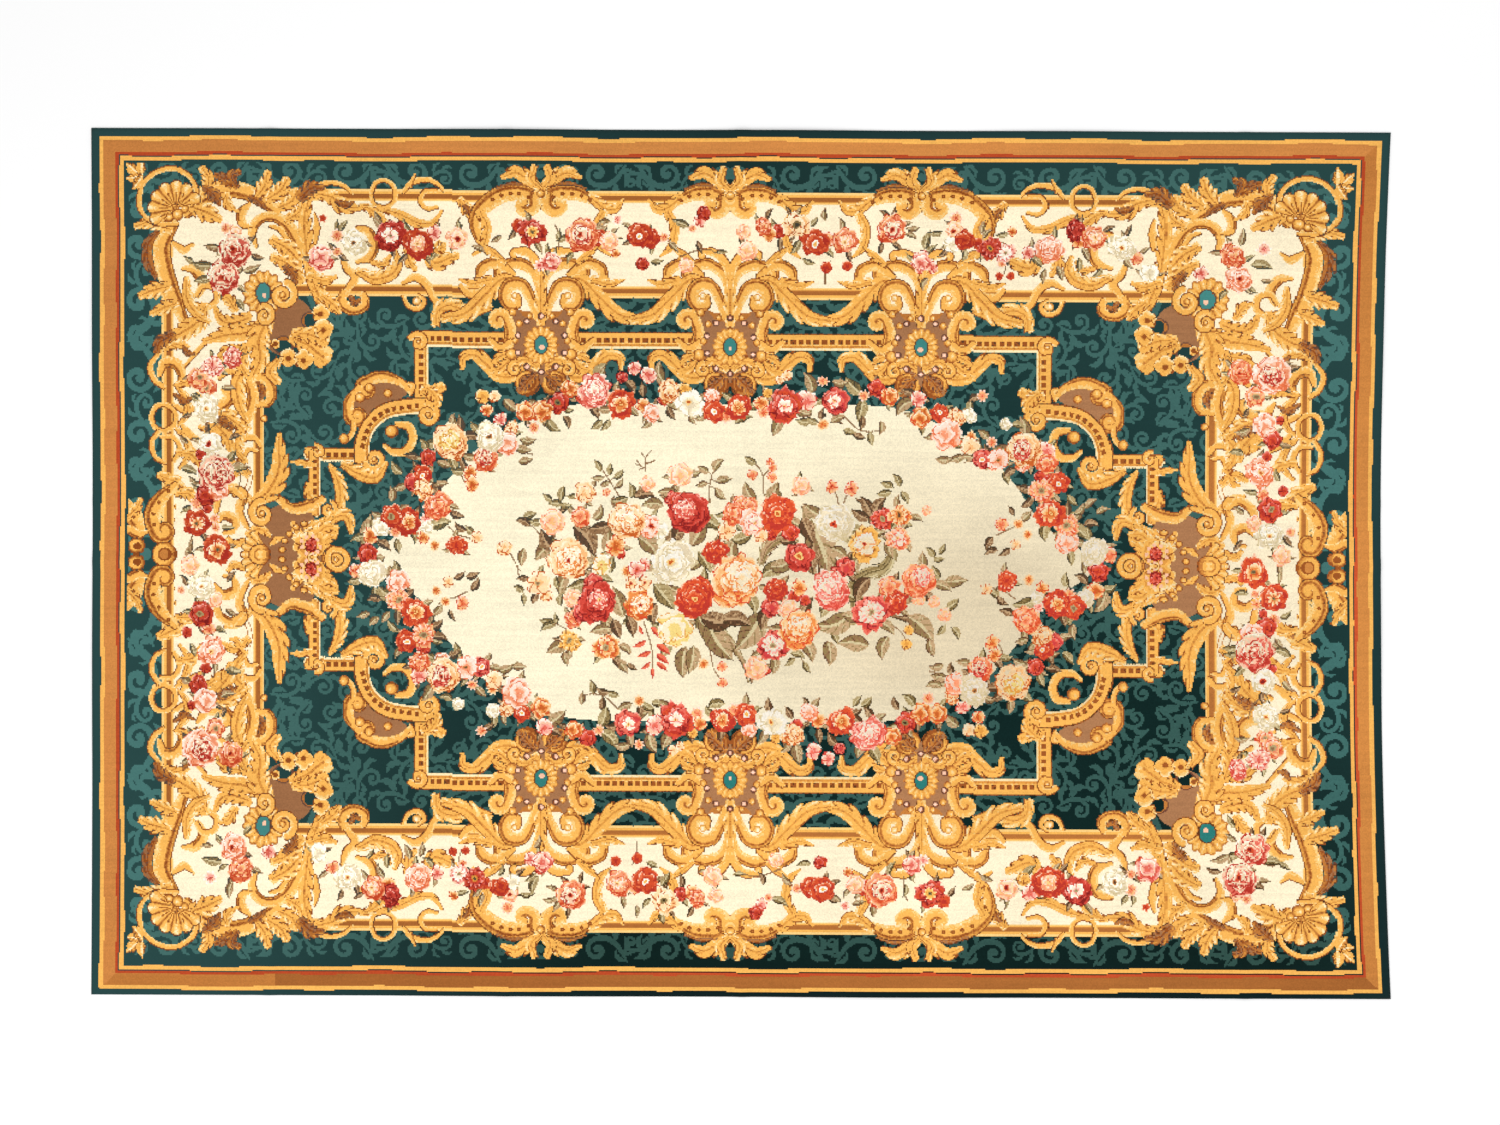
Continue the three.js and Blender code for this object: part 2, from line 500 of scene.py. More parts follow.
    def petal(self, patch: Patch, away: tuple, shape: tuple, tint: Tint, pointed: bool) -> None:
        """Paints one petal: deep at its foot, light to its tip, with a dark edge away from the light.

        Args:
            patch: The stitches round the flower.
            away: How far each lies from its middle, along and across the rug.
            shape: Which way it points, its length, and its half width and hidden part as shares of that.
            tint: Its yarns.
            pointed: Whether it comes to a point.
        """
        dx, dy = away
        angle, reach, half, hidden = shape
        along = (dx * math.cos(angle) + dy * math.sin(angle)) / reach
        across = (dy * math.cos(angle) - dx * math.sin(angle)) / reach
        if pointed:
            belly = np.sin(np.pi * np.clip(along, 0.02, 0.999) ** 1.2) ** 0.7
            body = np.abs(across) / (1.25 * half * belly)
        else:
            foot = half * np.clip(along / 0.6, 0.05, 1) ** 0.6
            body = np.where(along > 0.6, np.hypot((along - 0.6) / 0.4, across / half),
                            np.abs(across) / foot)
        notch = 1 - 0.2 * np.exp(-((across / (0.22 * half)) ** 2)) * (along > 0.7) * (not pointed)
        edge = (notch - body) * half * reach
        bright = (0.8 * dy - 0.6 * dx) / reach * 0.16
        seen = np.clip((along - hidden) / (1 - hidden), 0, 1)
        value = 0.26 + 0.56 * seen**0.8 + bright
        shadow = across * math.copysign(1, math.cos(angle + 0.9)) < 0
        value = np.where((edge < 0.25) & shadow, 0.1, value)
        value = np.where((edge < 0.25) & ~shadow, value + 0.12, value)
        self.lay(patch, (along > 0) & (along < 1.05) & (edge >= 0),
                 self.shade(patch, value, tint.value, 0.14))

    def leaf(
        self,
        x: float,
        y: float,
        angle: float,
        length: float,
        wide: float = 0.42,
        ramp: Ramp = GREENERY,
        bend: float = 0.15,
        teeth: int = 0,
    ) -> None:
        """Paints a leaf: one half light and one dark, with a pale rib and side veins.

        Args:
            x: Where its stalk joins, along the rug.
            y: Where its stalk joins, across the rug.
            angle: Which way it points, in degrees from the rug's length.
            length: Its length, in centimetres.
            wide: Its greatest width, as a share of its length.
            ramp: Its yarns, dark to light.
            bend: How far it bows, as a share of its length.
            teeth: How many teeth its edge has, or 0.
        """
        way = math.radians(angle)
        ahead = np.array([math.cos(way), math.sin(way)])
        aside = np.array([-ahead[1], ahead[0]])
        share = np.linspace(0, 1, max(int(length / 0.18), 5))
        line = np.array([x, y]) + length * (
            share[:, None] * ahead + bend * np.sin(np.pi * share)[:, None] * aside
        )
        marks = np.linspace(0, 1, 13)
        half = 0.5 * wide * length * np.sin(np.pi * marks**0.8) ** 0.85
        made = self.stroke(line, np.maximum(half, 0.12))
        depth = np.abs(made.across)
        limit = np.ones_like(depth)
        if teeth:
            limit = 0.74 + 0.26 * np.mod(teeth * made.along - 0.4 * depth, 1)
        value = np.where(made.across > 0, 0.72, 0.42)
        vein = np.mod(5 * made.along - 1.2 * depth, 1) < 0.2
        value = np.where(vein & (made.half > 0.5), value - 0.2, value)
        value = np.where((depth < 0.14) & (made.half > 0.35), 0.9, value)
        value = np.where((depth > limit - 0.2 / np.maximum(made.half, 0.3)) & (made.across < 0.2), 0.08,
                         value)
        self.lay(made.patch, made.inside & (depth <= limit), self.shade(made.patch, value, ramp, 0.25))


class Ornament:
    """A part of the design, worked on the cartoon."""

    def __init__(self, cartoon: Cartoon) -> None:
        """Takes the cartoon that it is worked on."""
        self.c = cartoon

    def scrolls(self, *rows: tuple) -> None:
        """Paints carved scrolls.

        Args:
            *rows: For each its points, half widths and light side, then the radius, turns and side of its
                curl if it has one.
        """
        for points, half, light, *curl in rows:
            line = trace(points)
            for radius, turns, side in curl:
                line = curled(line, radius, turns, side)
            self.c.scroll(line, 1.22 * np.array(half), light)

    def fronds(self, *rows: tuple, ramp: Ramp = GILT) -> None:
        """Paints carved leaves, each as its points, half widths, lobes and lobed side."""
        for points, half, lobes, side in rows:
            self.c.acanthus(trace(points), 1.4 * np.array(half), lobes, side, ramp)

    def area(self, yarn: int, *points: Point) -> None:
        """Fills a smooth closed shape.

        Args:
            yarn: The yarn that fills it.
            *points: The places that its outline passes through.
        """
        line = trace((*points, points[0]), 0.5)
        patch = self.c.patch(*line.min(0), *line.max(0))
        inside = np.zeros(patch.x.shape, bool)
        for (x0, y0), (x1, y1) in zip(line[:-1], line[1:]):
            if y0 != y1:
                crosses = (y0 > patch.y) != (y1 > patch.y)
                inside ^= crosses & (patch.x < (x1 - x0) * (patch.y - y0) / (y1 - y0) + x0)
        self.c.lay(patch, inside, yarn)

    def block(self, x0: float, y0: float, x1: float, y1: float, yarn: int) -> None:
        """Fills a box with one yarn."""
        patch = self.c.patch(x0, y0, x1, y1)
        self.c.lay(patch, np.ones(patch.x.shape, bool), yarn)

    def volute(self, x: float, y: float, radius: float, turns: float, start: float, side: int,
               half: float) -> None:
        """Paints a spiral scroll that shrinks to a bead.

        Args:
            x: Its middle along the rug.
            y: Its middle across the rug.
            radius: Its first radius.
            turns: How many times it goes round.
            start: The angle that it starts at, in degrees.
            side: 1 where it turns to the left, -1 to the right.
            half: Half its first width.
        """
        first = math.radians(start)
        share = np.linspace(0, 1, int(44 * turns))
        angle = first + side * 2 * math.pi * turns * share
        reach = radius * (1 - 0.80 * share)
        line = np.array([x, y]) + reach[:, None] * np.column_stack([np.cos(angle), np.sin(angle)])
        self.c.scroll(even(line, 0.15), (half, half * 0.9, half * 0.7), side)
        self.c.disc(x, y, 0.26 * radius, 0.26 * radius, GILT_SOFT)

    def fan(self, x: float, y: float, radius: float, first: float, last: float, lobes: int) -> None:
        """Paints a shell: lobes that spread from a hinge, lit along their crests.

        Args:
            x: The hinge's place along the rug.
            y: The hinge's place across the rug.
            radius: Its reach.
            first: The angle of its first side, in degrees.
            last: The angle of its last side, in degrees.
            lobes: How many lobes it has.
        """
        patch = self.c.patch(x - radius, y - radius, x + radius, y + radius)
        angle = np.mod(np.degrees(np.arctan2(patch.y - y, patch.x - x)) - first, 360)
        reach = np.hypot(patch.x - x, patch.y - y) / radius
        phase = np.mod(angle / (last - first) * lobes, 1)
        limit = 0.84 + 0.16 * np.sqrt(np.sin(np.pi * phase))
        value = 0.12 + 0.62 * np.sin(np.pi * phase) + 0.3 * reach - 0.12
        value = np.where(reach > limit - 0.3 / radius, 0.12, value)
        value = np.where((np.abs(phase - 0.5) < 0.1) & (reach < 0.6), 0.25, value)
        self.c.lay(patch, (angle < last - first) & (reach <= limit), self.c.shade(patch, value, GILT, 0.2))


class Damask(Ornament):
    """The two-tone arabesques of the dark teal grounds."""

    yarn = Yarn.DAMASK
    leafy = 1.0

    def paint(self) -> None:
        """Fills the quadrant: fine arabesques over the field, then large scrolls along the outer strips."""
        rng = self.c.random
        for row, y in enumerate(np.arange(-4, 62, 6.2)):
            for x in np.arange(-120 + 3.6 * (row % 2), 8, 7.2):
                spot = (x + rng.uniform(-1, 1), y + rng.uniform(-1, 1))
                self.spray(*spot, rng.uniform(0, 360), rng.uniform(1.7, 2.1),
                           1 if rng.random() < 0.5 else -1)
        self.block(-138, -1, -121.5, 92, Yarn.GROUND)
        self.block(-138, 77.5, 1, 92, Yarn.GROUND)
        self.leafy = 0.75
        for order, x in enumerate(np.arange(-122, 4, 13.5)):
            self.spray(x, 81.5, 186 * (order % 2), 2.5, (-1) ** order)
            self.spray(x + 6.8, 80.6, 8 + 174 * (order % 2), 1.6, -((-1) ** order))
        self.leafy = 0.6
        self.yarn = Yarn.DAMASK_PALE
        for order, y in enumerate(np.arange(-3, 76, 14.0)):
            self.spray(-126.6, y, 90 + 174 * (order % 2), 3.2, (-1) ** order)
            self.spray(-126.0, y + 7.2, 84 + 180 * (order % 2), 2.0, -((-1) ** order))

    def spray(self, x: float, y: float, angle: float, size: float, side: int) -> None:
        """Paints one scroll like a breaking wave, with the plumes on its back.

        Args:
            x: Its middle along the rug.
            y: Its middle across the rug.
            angle: Which way it runs, in degrees.
            size: The radius of its curl, in centimetres.
            side: 1 where it curls to its left, -1 to its right.
        """
        way = math.radians(angle)
        ahead = size * np.array([math.cos(way), math.sin(way)])
        aside = side * np.array([-ahead[1], ahead[0]])
        middle = np.array([x, y])
        back = [(-2.3, 0.9), (-1.3, -0.4), (-0.2, -0.9), (0.6, -0.7)]
        line = curled(trace([middle + f * ahead + s * aside for f, s in back]), 0.95 * size, 1.0, side)
        for share, turn, length in ((0.02, 45, 1.5), (0.12, -70, 1.7), (0.27, -55, 2.1), (0.43, -45, 1.8)):
            spot = line[int(share * len(line))]
            tangent = line[int(share * len(line)) + 1] - spot
            lean = math.atan2(tangent[1], tangent[0]) + side * math.radians(turn)
            self.plume(spot, lean, length * size * self.leafy, -side * math.copysign(1, turn))
        self.c.scroll(line, size * np.array((0.08, 0.22, 0.26, 0.2, 0.18, 0.3)), side, (self.yarn,))

    def plume(self, foot: np.ndarray, lean: float, length: float, side: float) -> None:
        """Paints one leaf with a lobed edge, bent over at its tip.

        Args:
            foot: Where it leaves its stem.
            lean: Which way it starts, in radians.
            length: Its length, in centimetres.
            side: 1 where it bends to its left, -1 to its right.
        """
        ahead = length * np.array([math.cos(lean), math.sin(lean)])
        aside = side * np.array([-ahead[1], ahead[0]])
        path = [foot + f * ahead + s * aside for f, s in ((0, 0), (0.42, -0.06), (0.78, 0.14), (0.92, 0.5))]
        made = self.c.stroke(trace(path), length * np.array((0.06, 0.16, 0.21, 0.17, 0.05)))
        depth = np.abs(made.across)
        limit = 0.5 + 0.5 * np.sqrt(np.sin(np.pi * np.mod(3 * made.along - 0.5 * depth, 1)))
        self.c.lay(made.patch, made.inside & (depth <= limit), self.yarn)


class Mouldings(Ornament):
    """The cream flower borders and the gilt mouldings that frame them."""

    def paint(self) -> None:
        """Lays the cream, then the mouldings along the top and the left of the quadrant."""
        self.block(-119.8, -1, -102.4, 76, Yarn.CREAM)
        self.block(-119.8, 58.2, 1, 76, Yarn.CREAM)
        self.rail([(-119, 76.9), (1, 76.9)], 1)
        self.rail([(-104, 57.0), (1, 57.0)], -1)
        self.rail([(-120.8, -1), (-120.8, 76)], 1)
        self.rail([(-101.2, -1), (-101.2, 58)], -1)

    def rail(self, ends: list[Point], outward: int) -> None:
        """Paints one moulding: gilt, a brown hollow, gilt, and a pale line on its inner edge.

        Args:
            ends: Where it starts and ends.
            outward: 1 where its outer side is to its left, -1 to its right.
        """
        made = self.c.stroke(trace(ends), (1.25, 1.25))
        across = made.across * outward * 1.25
        yarn = np.full(across.shape, int(Yarn.GOLD))
        for low, high, which in (
            (0.95, 2.0, Yarn.STRAW),
            (-0.5, 0.4, Yarn.STRIPE_DEEP),
            (-0.62, -0.5, Yarn.TOFFEE),
            (-2.0, -0.95, Yarn.STRAW),
        ):
            yarn[(across >= low) & (across < high)] = which
        self.c.lay(made.patch, made.inside, yarn)


class StrapWork(Ornament):
    """The stepped gilt bars and brackets round the field."""

    def paint(self) -> None:
        """Paints the brackets of the quadrant."""
        c = self.c
        self.area(
            Yarn.MAUVE, (-69, 35), (-70, 37.6), (-74, 38.8), (-78.5, 37.6), (-80.8, 33.6), (-80, 29),
            (-77, 27), (-74, 31)
        )
        c.dentils(trace([(1, 46.8), (-66, 46.8)])[::-1], 1.75)
        c.dentils(trace([(-66.1, 34), (-66.1, 46)]), 1.55)
        c.dentils(trace([(-79, 22.2), (-90, 22.2)])[::-1], 1.5)
        c.dentils(trace([(-89, 10), (-89, 22)]), 1.45)
        self.scrolls(
            ([(-68.3, 35.5), (-70.5, 37.6), (-74.5, 38.7), (-78.2, 37.4)], (0.5, 1, 1.2, 0.9), 1,
             (1.5, 1.2, 1)),
            ([(-79.5, 36.2), (-81.6, 33.2), (-81.4, 30.2)], (0.7, 1.1, 0.9), 1, (1.5, 1.2, 1)),
            ([(-80.7, 29), (-80.8, 27), (-81.6, 25.8)], (0.5, 0.5, 0.5), 1),
        )
        for x, y, r in ((-77.1, 36.2, 1.15), (-73.1, 35.1, 0.95), (-79.2, 34.2, 1.1), (-82.6, 25.5, 1.1)):
            c.disc(x, y, r, r, GILT_SOFT)
        c.dentils(trace([(-78.9, 21.6), (-78.6, 25), (-77, 28.6), (-73.6, 31.4), (-69, 32.4),
                         (-64.6, 32.6)]), 1.75)
        self.volute(-64.6, 30.7, 2.4, 1.4, 90, -1, 0.85)
        self.volute(-66.6, 46, 1.9, 1.2, 150, -1, 0.75)
        self.volute(-76, 21.2, 2.3, 1.3, 210, 1, 0.8)
        self.volute(-88.4, 22.6, 1.5, 1.1, 100, -1, 0.6)
        self.fronds(
            ([(-82.5, 19.8), (-79, 17.9), (-75.6, 17.4), (-73.4, 20.2)], (0.9, 1.5, 1.4, 0.5), 5, 1),
            ([(-65.4, 35.6), (-63.4, 35.2), (-61.6, 36.4)], (0.9, 1.5, 0.9), 3, 0),
            ([(-64.6, 36.2), (-62.8, 34.4), (-62.4, 33)], (0.7, 1.3, 0.7), 3, 0),
            ([(-85.6, 19.6), (-84, 16.8), (-83.4, 13.2), (-84.2, 10)], (0.5, 1.2, 1.3, 0.9), 5, 1),
            ([(-90.5, 15.6), (-90.2, 13.4), (-88.6, 11.4)], (0.5, 1, 0.6), 3, -1),
            ([(-90.2, 19.8), (-92, 20.2), (-94, 20.4)], (0.7, 0.6, 0.2), 2, 0),
        )
        self.volute(-85.9, 10.4, 1.8, 1.2, 60, -1, 0.65)
        self.scrolls(([(-73.8, 24.2), (-72, 22.8), (-69.4, 23), (-67.9, 25.4), (-68.6, 28), (-71, 28.6)],
                      (0.4, 0.7, 0.8, 0.8, 0.8, 0.6), -1))
        c.disc(-72.3, 27.1, 1.45, 1.35, GILT)
        self.scrolls(([(-68.2, 35), (-67.6, 36.8), (-68.6, 37.2)], (0.4, 0.5, 0.4), 1))


class TopCartouche(Ornament):
    """The tall gilt cartouches of the long borders, each on its own place along the rug."""

    def paint(self) -> None:
        """Paints the middle one's left half and the whole left one."""
        for x in (-40.2, 0):
            for side in (1, -1):
                self.half(x, side)
            self.crown(x)

    def half(self, x: float, side: int) -> None:
        """Paints one half of a cartouche.

        Args:
            x: Its middle along the rug.
            side: -1 for its left half, 1 for its right half.
        """

        def at(*points: Point) -> list[Point]:
            """Moves points from the cartouche's right half to their place."""
            return [(x + side * px, py) for px, py in points]

        lit = -side
        c = self.c
        self.area(Yarn.CREAM, *at((0, 77), (3, 76), (8, 77.6), (13, 75.6), (15, 70), (12, 62), (6, 59),
                                  (0, 57)))
        self.area(Yarn.MAUVE, *at((-0.6, 54), (3, 54.4), (6.5, 53), (6.6, 48), (7, 42), (3, 39),
                                  (-0.6, 38.4)))
        self.area(Yarn.TOFFEE, *at((-0.6, 54.6), (3, 55.4), (4.6, 53.6), (3.4, 51.6), (-0.6, 51)))
        outer = ((14, 72.4), (13.6, 68.8), (11.6, 65)) if side < 0 and x < -1 else ()
        self.scrolls(
            (at((0.9, 75), (3, 77.6), (7.6, 77.7), (11.6, 75.6), *outer), (0.9, 1.5, 1.6, 1.4, 1, 0.4),
             lit),
            (at((1.4, 77), (1.5, 74.9), (3.2, 73.9), (4.6, 74.9), (3.6, 75.7)), (1, 1.2, 1.15, 0.95, 0.7),
             lit),
        )
        if not outer:
            self.fronds((at((10.8, 76.6), (13.4, 74.6), (15.8, 74.4), (17.4, 76.4)), (1, 1.2, 1, 0.3), 4,
                         side))
        self.dots(at((2.6, 76.9), (4.6, 77.6), (6.6, 77.6), (8.6, 77.2), (10.4, 76.3)))
        self.fronds((at((2.6, 79.3), (6, 79.7), (9.6, 78.7)), (0.25, 0.42, 0.2), 5, side), ramp=BRONZE)
        self.fronds(
            (at((13, 73.6), (11.6, 70.6), (12.4, 66.6), (14.6, 64.6)), (0.9, 1, 0.9, 0.3), 4, side),
        )
        self.scrolls(
            (at((0.2, 57), (1.4, 61), (4.8, 63), (8.4, 62.2)), (0.6, 1, 1.1, 0.8), lit, (1.6, 0.8, -side)),
            (at((0.2, 58.6), (0.6, 62.4), (2.6, 65.2), (5.6, 65.6)), (0.5, 0.8, 0.8, 0.4), lit,
             (1, 0.6, -side)),
            (at((6, 60.6), (9.6, 63), (12.6, 62), (13.4, 59.6)), (0.6, 1, 1, 0.4), lit, (0.9, 0.6, -side)),
        )
        self.fronds(
            (at((4.4, 59), (8.4, 59.6), (12.2, 56), (16.2, 52.4), (20.6, 51.2)), (0.6, 1.5, 1.7, 1.6, 0.9),
             6, -side),
            (at((11.2, 59.4), (14.6, 58.6), (17.4, 59.4)), (0.8, 0.9, 0.3), 3, side),
            (at((8, 63.4), (10.2, 65.2), (12.2, 66.8)), (0.6, 0.9, 0.2), 3, -side),
        )
        self.area(Yarn.CREAM, *at((1.6, 52.8), (0.8, 56.4), (3.2, 58.8), (6.6, 57.4), (6.6, 55),
                                  (5.2, 53.2)))
        self.scrolls(
            (
                at((1, 51.8), (2.2, 55.6), (4, 58.4), (6.8, 58.4), (8, 56.2), (7, 54), (5, 54.2),
                   (4.9, 56)),
                (0.6, 0.8, 1, 1.2, 1.2, 1.1, 0.9, 0.6),
                lit,
            ),
        )
        c.disc(x + side * 5.7, 56.1, 0.8, 0.8, (Yarn.OCHRE, Yarn.STRAW, Yarn.CREAM))
        self.scrolls(
            (at((7.4, 45.2), (6.7, 48.4), (7.6, 51.4)), (1, 1.05, 0.9), -lit, (1.7, 0.9, -side)),
            (at((6.6, 46.4), (8.8, 45), (11, 46.8)), (0.6, 0.8, 0.5), lit),
        )
        self.fronds(
            (
                at((3.8, 40.4), (6.6, 38.9), (9.4, 39.3), (11.8, 41.6), (14.2, 43.5), (16.5, 43),
                   (16.8, 40.9)),
                (0.7, 1.2, 1.5, 1.5, 1.3, 1, 0.5),
                5,
                side,
            ),
            (at((7, 43.4), (8.6, 43.4), (10.2, 42.2)), (0.8, 1, 0.4), 3, side),
            (at((6.8, 42.6), (8.6, 40.8), (10.8, 40.2)), (0.8, 1.1, 0.5), 3, 0),
            (at((1, 41.2), (3.2, 42.6), (6, 41.6)), (0.8, 0.9, 0.5), 3, 0),
        )
        self.volute(x + side * 5.6, 40.6, 1.6, 1.1, 80 if side > 0 else 100, -side, 0.6)
        for px, py, r in ((6.4, 43.7, 1.3), (4.6, 50.2, 0.8), (6.2, 52.6, 0.9), (2.4, 51.8, 0.7),
                          (5.6, 46.6, 0.8)):
            c.disc(x + side * px, py, r, r, GILT_SOFT)
        c.disc(x + side * 2.9, 37.6, 2.8, 2.7, GILT)
        c.disc(x + side * 2.9, 37.8, 1.9, 1.8, (Yarn.RUST, Yarn.TOFFEE, Yarn.TOFFEE))
        self.fronds((at((1.2, 39.4), (2.8, 38), (4.2, 36.2)), (0.5, 1.1, 0.8), 4, 0), ramp=BRONZE)

    def dots(self, places: list[Point]) -> None:
        """Paints the sunk brown dots of a scroll."""
        for px, py in places:
            self.c.disc(px, py, 0.46, 0.42, (Yarn.RUST, Yarn.RUST, Yarn.TOFFEE))

    def crown(self, x: float) -> None:
        """Paints what stands on the middle line: palmette, bead, spray and rosette.

        Args:
            x: The cartouche's middle along the rug.
        """
        c = self.c
        for side in (1, -1):
            self.fronds(
                ([(x + side * f, y) for f, y in ((0.6, 79.2), (2.8, 80.6), (5.4, 82), (8.2, 81))],
                 (0.7, 1.4, 1.3, 0.5), 3, side),
                ([(x + side * 0.5, 79), (x + side * 2, 80.6), (x + side * 1.3, 83)], (0.7, 1.1, 0.7), 2,
                 -side),
            )
        c.disc(x, 77.6, 0.95, 0.9, GILT_SOFT)
        self.fronds(([(x, 50.6), (x, 54.6), (x, 58.6), (x, 61.6)], (0.8, 1.2, 0.9, 0.4), 4, 0))
        self.rosette(x, 45.7, 3.8, 4.3, 16)
        for turn in range(10):
            angle = math.pi / 5 * (turn + 0.5)
            bx, by = x + 5.2 * math.cos(angle), 45.9 + 5.9 * math.sin(angle)
            c.disc(bx, by, 0.75, 0.75, (Yarn.MAUVE_DEEP, Yarn.MAUVE_DEEP, Yarn.RUST))
            c.disc(bx + 0.1, by, 0.42, 0.42, (Yarn.BLUSH, Yarn.PETAL))

    def rosette(self, x: float, y: float, rx: float, ry: float, petals: int) -> None:
        """Paints a gilt rosette round a teal stone.

        Args:
            x: Its middle along the rug.
            y: Its middle across the rug.
            rx: Half its width.
            ry: Half its height.
            petals: How many petals it has.
        """
        patch = self.c.patch(x - rx * 1.1, y - ry * 1.1, x + rx * 1.1, y + ry * 1.1)
        reach = np.hypot((patch.x - x) / rx, (patch.y - y) / ry)
        angle = np.arctan2(patch.y - y, patch.x - x)
        wave = np.cos(petals / 2 * angle) ** 2
        limit = 0.88 + 0.12 * wave
        value = 0.2 + 0.45 * wave + 0.2 * np.sin(np.pi * np.clip((reach - 0.4) / 0.6, 0, 1))
        value = np.where(reach > limit - 0.08, 0.3, value)
        self.c.lay(patch, reach <= limit, self.c.shade(patch, value, GILT, 0.25))
        self.c.disc(x, y, rx * 0.40, ry * 0.46, (Yarn.UMBER, Yarn.RUST, Yarn.STRAW))
        self.c.disc(x, y, rx * 0.33, ry * 0.42, (Yarn.TEAL,))
        self.c.disc(x + 0.2, y - 0.25 * ry * 0.42, 0.55, 0.5, (Yarn.BLUSH,))


class SideCartouche(TopCartouche):
    """The wide gilt cartouche in the middle of each short border."""

    def paint(self) -> None:
        """Paints the left one, which lies across the quadrant's lower edge."""
        c = self.c
        self.area(
            Yarn.MAUVE, (-101, -4), (-102, 4), (-98, 10), (-92, 11), (-89, 8), (-87.4, 3), (-87.4, -3),
            (-92, -11)
        )
        self.area(Yarn.CREAM, (-119.4, -8), (-119.4, 8), (-117, 14), (-106, 14), (-103, 6), (-103.6, -6),
                  (-110, -12))
        for side in (1, -1):

            def at(*points: Point) -> list[Point]:
                """Turns points over for the lower half."""
                return [(px, side * py) for px, py in points]

            self.scrolls(
                (at((-119.4, 14.8), (-122.4, 12), (-124.2, 8.2), (-123.2, 4.6)), (0.7, 1.5, 1.6, 1), side,
                 (1.5, 0.9, side)),
                (at((-129.6, 11), (-128.6, 8.2), (-127.2, 5.6)), (0.7, 1.7, 1.2), side),
                (at((-129.6, 5.2), (-127.4, 4.2), (-125.6, 4.6)), (0.8, 0.9, 0.4), side),
                (at((-96.6, 12), (-94, 10.2), (-90.4, 10.8), (-87.4, 12.4)), (0.7, 1, 1.1, 0.8), -side),
                (at((-103.6, 6), (-105.2, 9.4), (-104.4, 12.8)), (0.5, 0.9, 0.5), side, (1.4, 0.9, side)),
            )
            self.dots(at((-120.8, 13.6), (-122.8, 11.2), (-124, 8.6), (-123.8, 6.2)))
            self.fronds(
                (at((-129.6, 8), (-127.8, 9.8), (-127, 11.6)), (0.9, 1, 0.5), 3, 0),
                (at((-102.2, 11.4), (-99, 13.8), (-96.8, 18), (-96.6, 22.2), (-96.6, 26)),
                 (1.1, 2.1, 1.9, 1.5, 0.5), 6, -side),
                (at((-86.8, 6.2), (-84.6, 8.8), (-82, 9), (-81.2, 6)), (0.6, 1.2, 1.2, 0.6), 4, side),
                (at((-90.6, 6.4), (-87.4, 6.8), (-84.4, 5.6)), (0.8, 1.1, 0.5), 3, 0),
                (at((-93.2, 5), (-91.6, 3.8), (-90, 3.2)), (0.8, 0.9, 0.4), 2, 0),
                (at((-103.4, 4.4), (-101.2, 5.6), (-98.6, 4.2)), (0.6, 1.1, 0.5), 3, 0),
                (at((-95.8, 3.6), (-97.2, 3.2), (-98.4, 2.2)), (0.4, 0.6, 0.3), 2, 0),
            )
            self.volute(-100.4, side * 8.9, 2.7, 1.4, 90 * side, side, 0.9)
            c.disc(-127.7, side * 1.7, 1.95, 1.7, GILT)
            c.disc(-127.6, side * 1.7, 0.9, 0.75, (Yarn.RUST,))
            self.fronds(
                (at((-88, 4), (-87.4, 6.6), (-85.6, 8.6)), (0.7, 1.1, 0.6), 3, 0),
                (at((-90.6, 3.6), (-92.6, 5), (-93.6, 6.8)), (0.6, 0.9, 0.5), 2, 0),
            )
            for step in range(5):
                angle = math.radians(180 - side * 15 * (step + 0.5))
                c.disc(-88.4 + 7.6 * math.cos(angle), 7.6 * math.sin(angle), 0.85, 0.75, GILT)
            self.scrolls(
                (at((-110.4, 9), (-109.8, 12.2), (-107, 14), (-104.6, 12.2)), (0.4, 0.8, 0.9, 0.5), 1),
                (at((-111, 6.2), (-108.8, 8.4), (-106.2, 7.4), (-106.6, 5), (-108.4, 4.6)),
                 (0.4, 0.8, 0.9, 0.6, 0.4), side),
            )
            self.fronds(
                (at((-118.8, 13), (-116.4, 13), (-114.2, 11)), (0.6, 1.2, 0.5), 3, 0),
                (at((-104.4, 2.8), (-106.2, 2.2), (-107.6, 3.4)), (0.6, 0.8, 0.4), 2, 0),
                (at((-88.4, 4.8), (-86.6, 6.6), (-84.4, 6.6)), (0.8, 1.3, 0.6), 3, 0),
                (at((-87.4, 1.4), (-86.4, 3.8), (-84.6, 4.8)), (0.7, 1.1, 0.5), 3, 0),
            )
            c.flower(Flower(-90, side * 2.9, 3.5, Bloom.ASTER, Tint.GILT))
            c.flower(Flower(-89.8, side * 2.5, 1.5, Bloom.PEONY, Tint.CRIMSON))
            for step in range(9):
                angle = 2 * math.pi * step / 9
                c.disc(-89.8 + 2.1 * math.cos(angle), side * 2.5 + 2 * math.sin(angle), 0.42, 0.4,
                       (Yarn.BLUSH,))
        c.disc(-121.6, 0, 2.7, 2.6, GILT)
        c.disc(-121.5, 0, 1.5, 1.4, (Yarn.RUST, Yarn.STRIPE))
        self.fan(-99, 0, 6.2, 118, 242, 7)
        c.disc(-100.8, 0, 2.6, 2.3, GILT)
        c.disc(-100.6, 0.2, 1.5, 1.2, (Yarn.TOFFEE, Yarn.GOLD, Yarn.STRAW))
        c.disc(-84.3, 0, 3, 2.9, GILT)
        self.volute(-84.3, 0, 2.5, 1.6, 0, 1, 0.7)


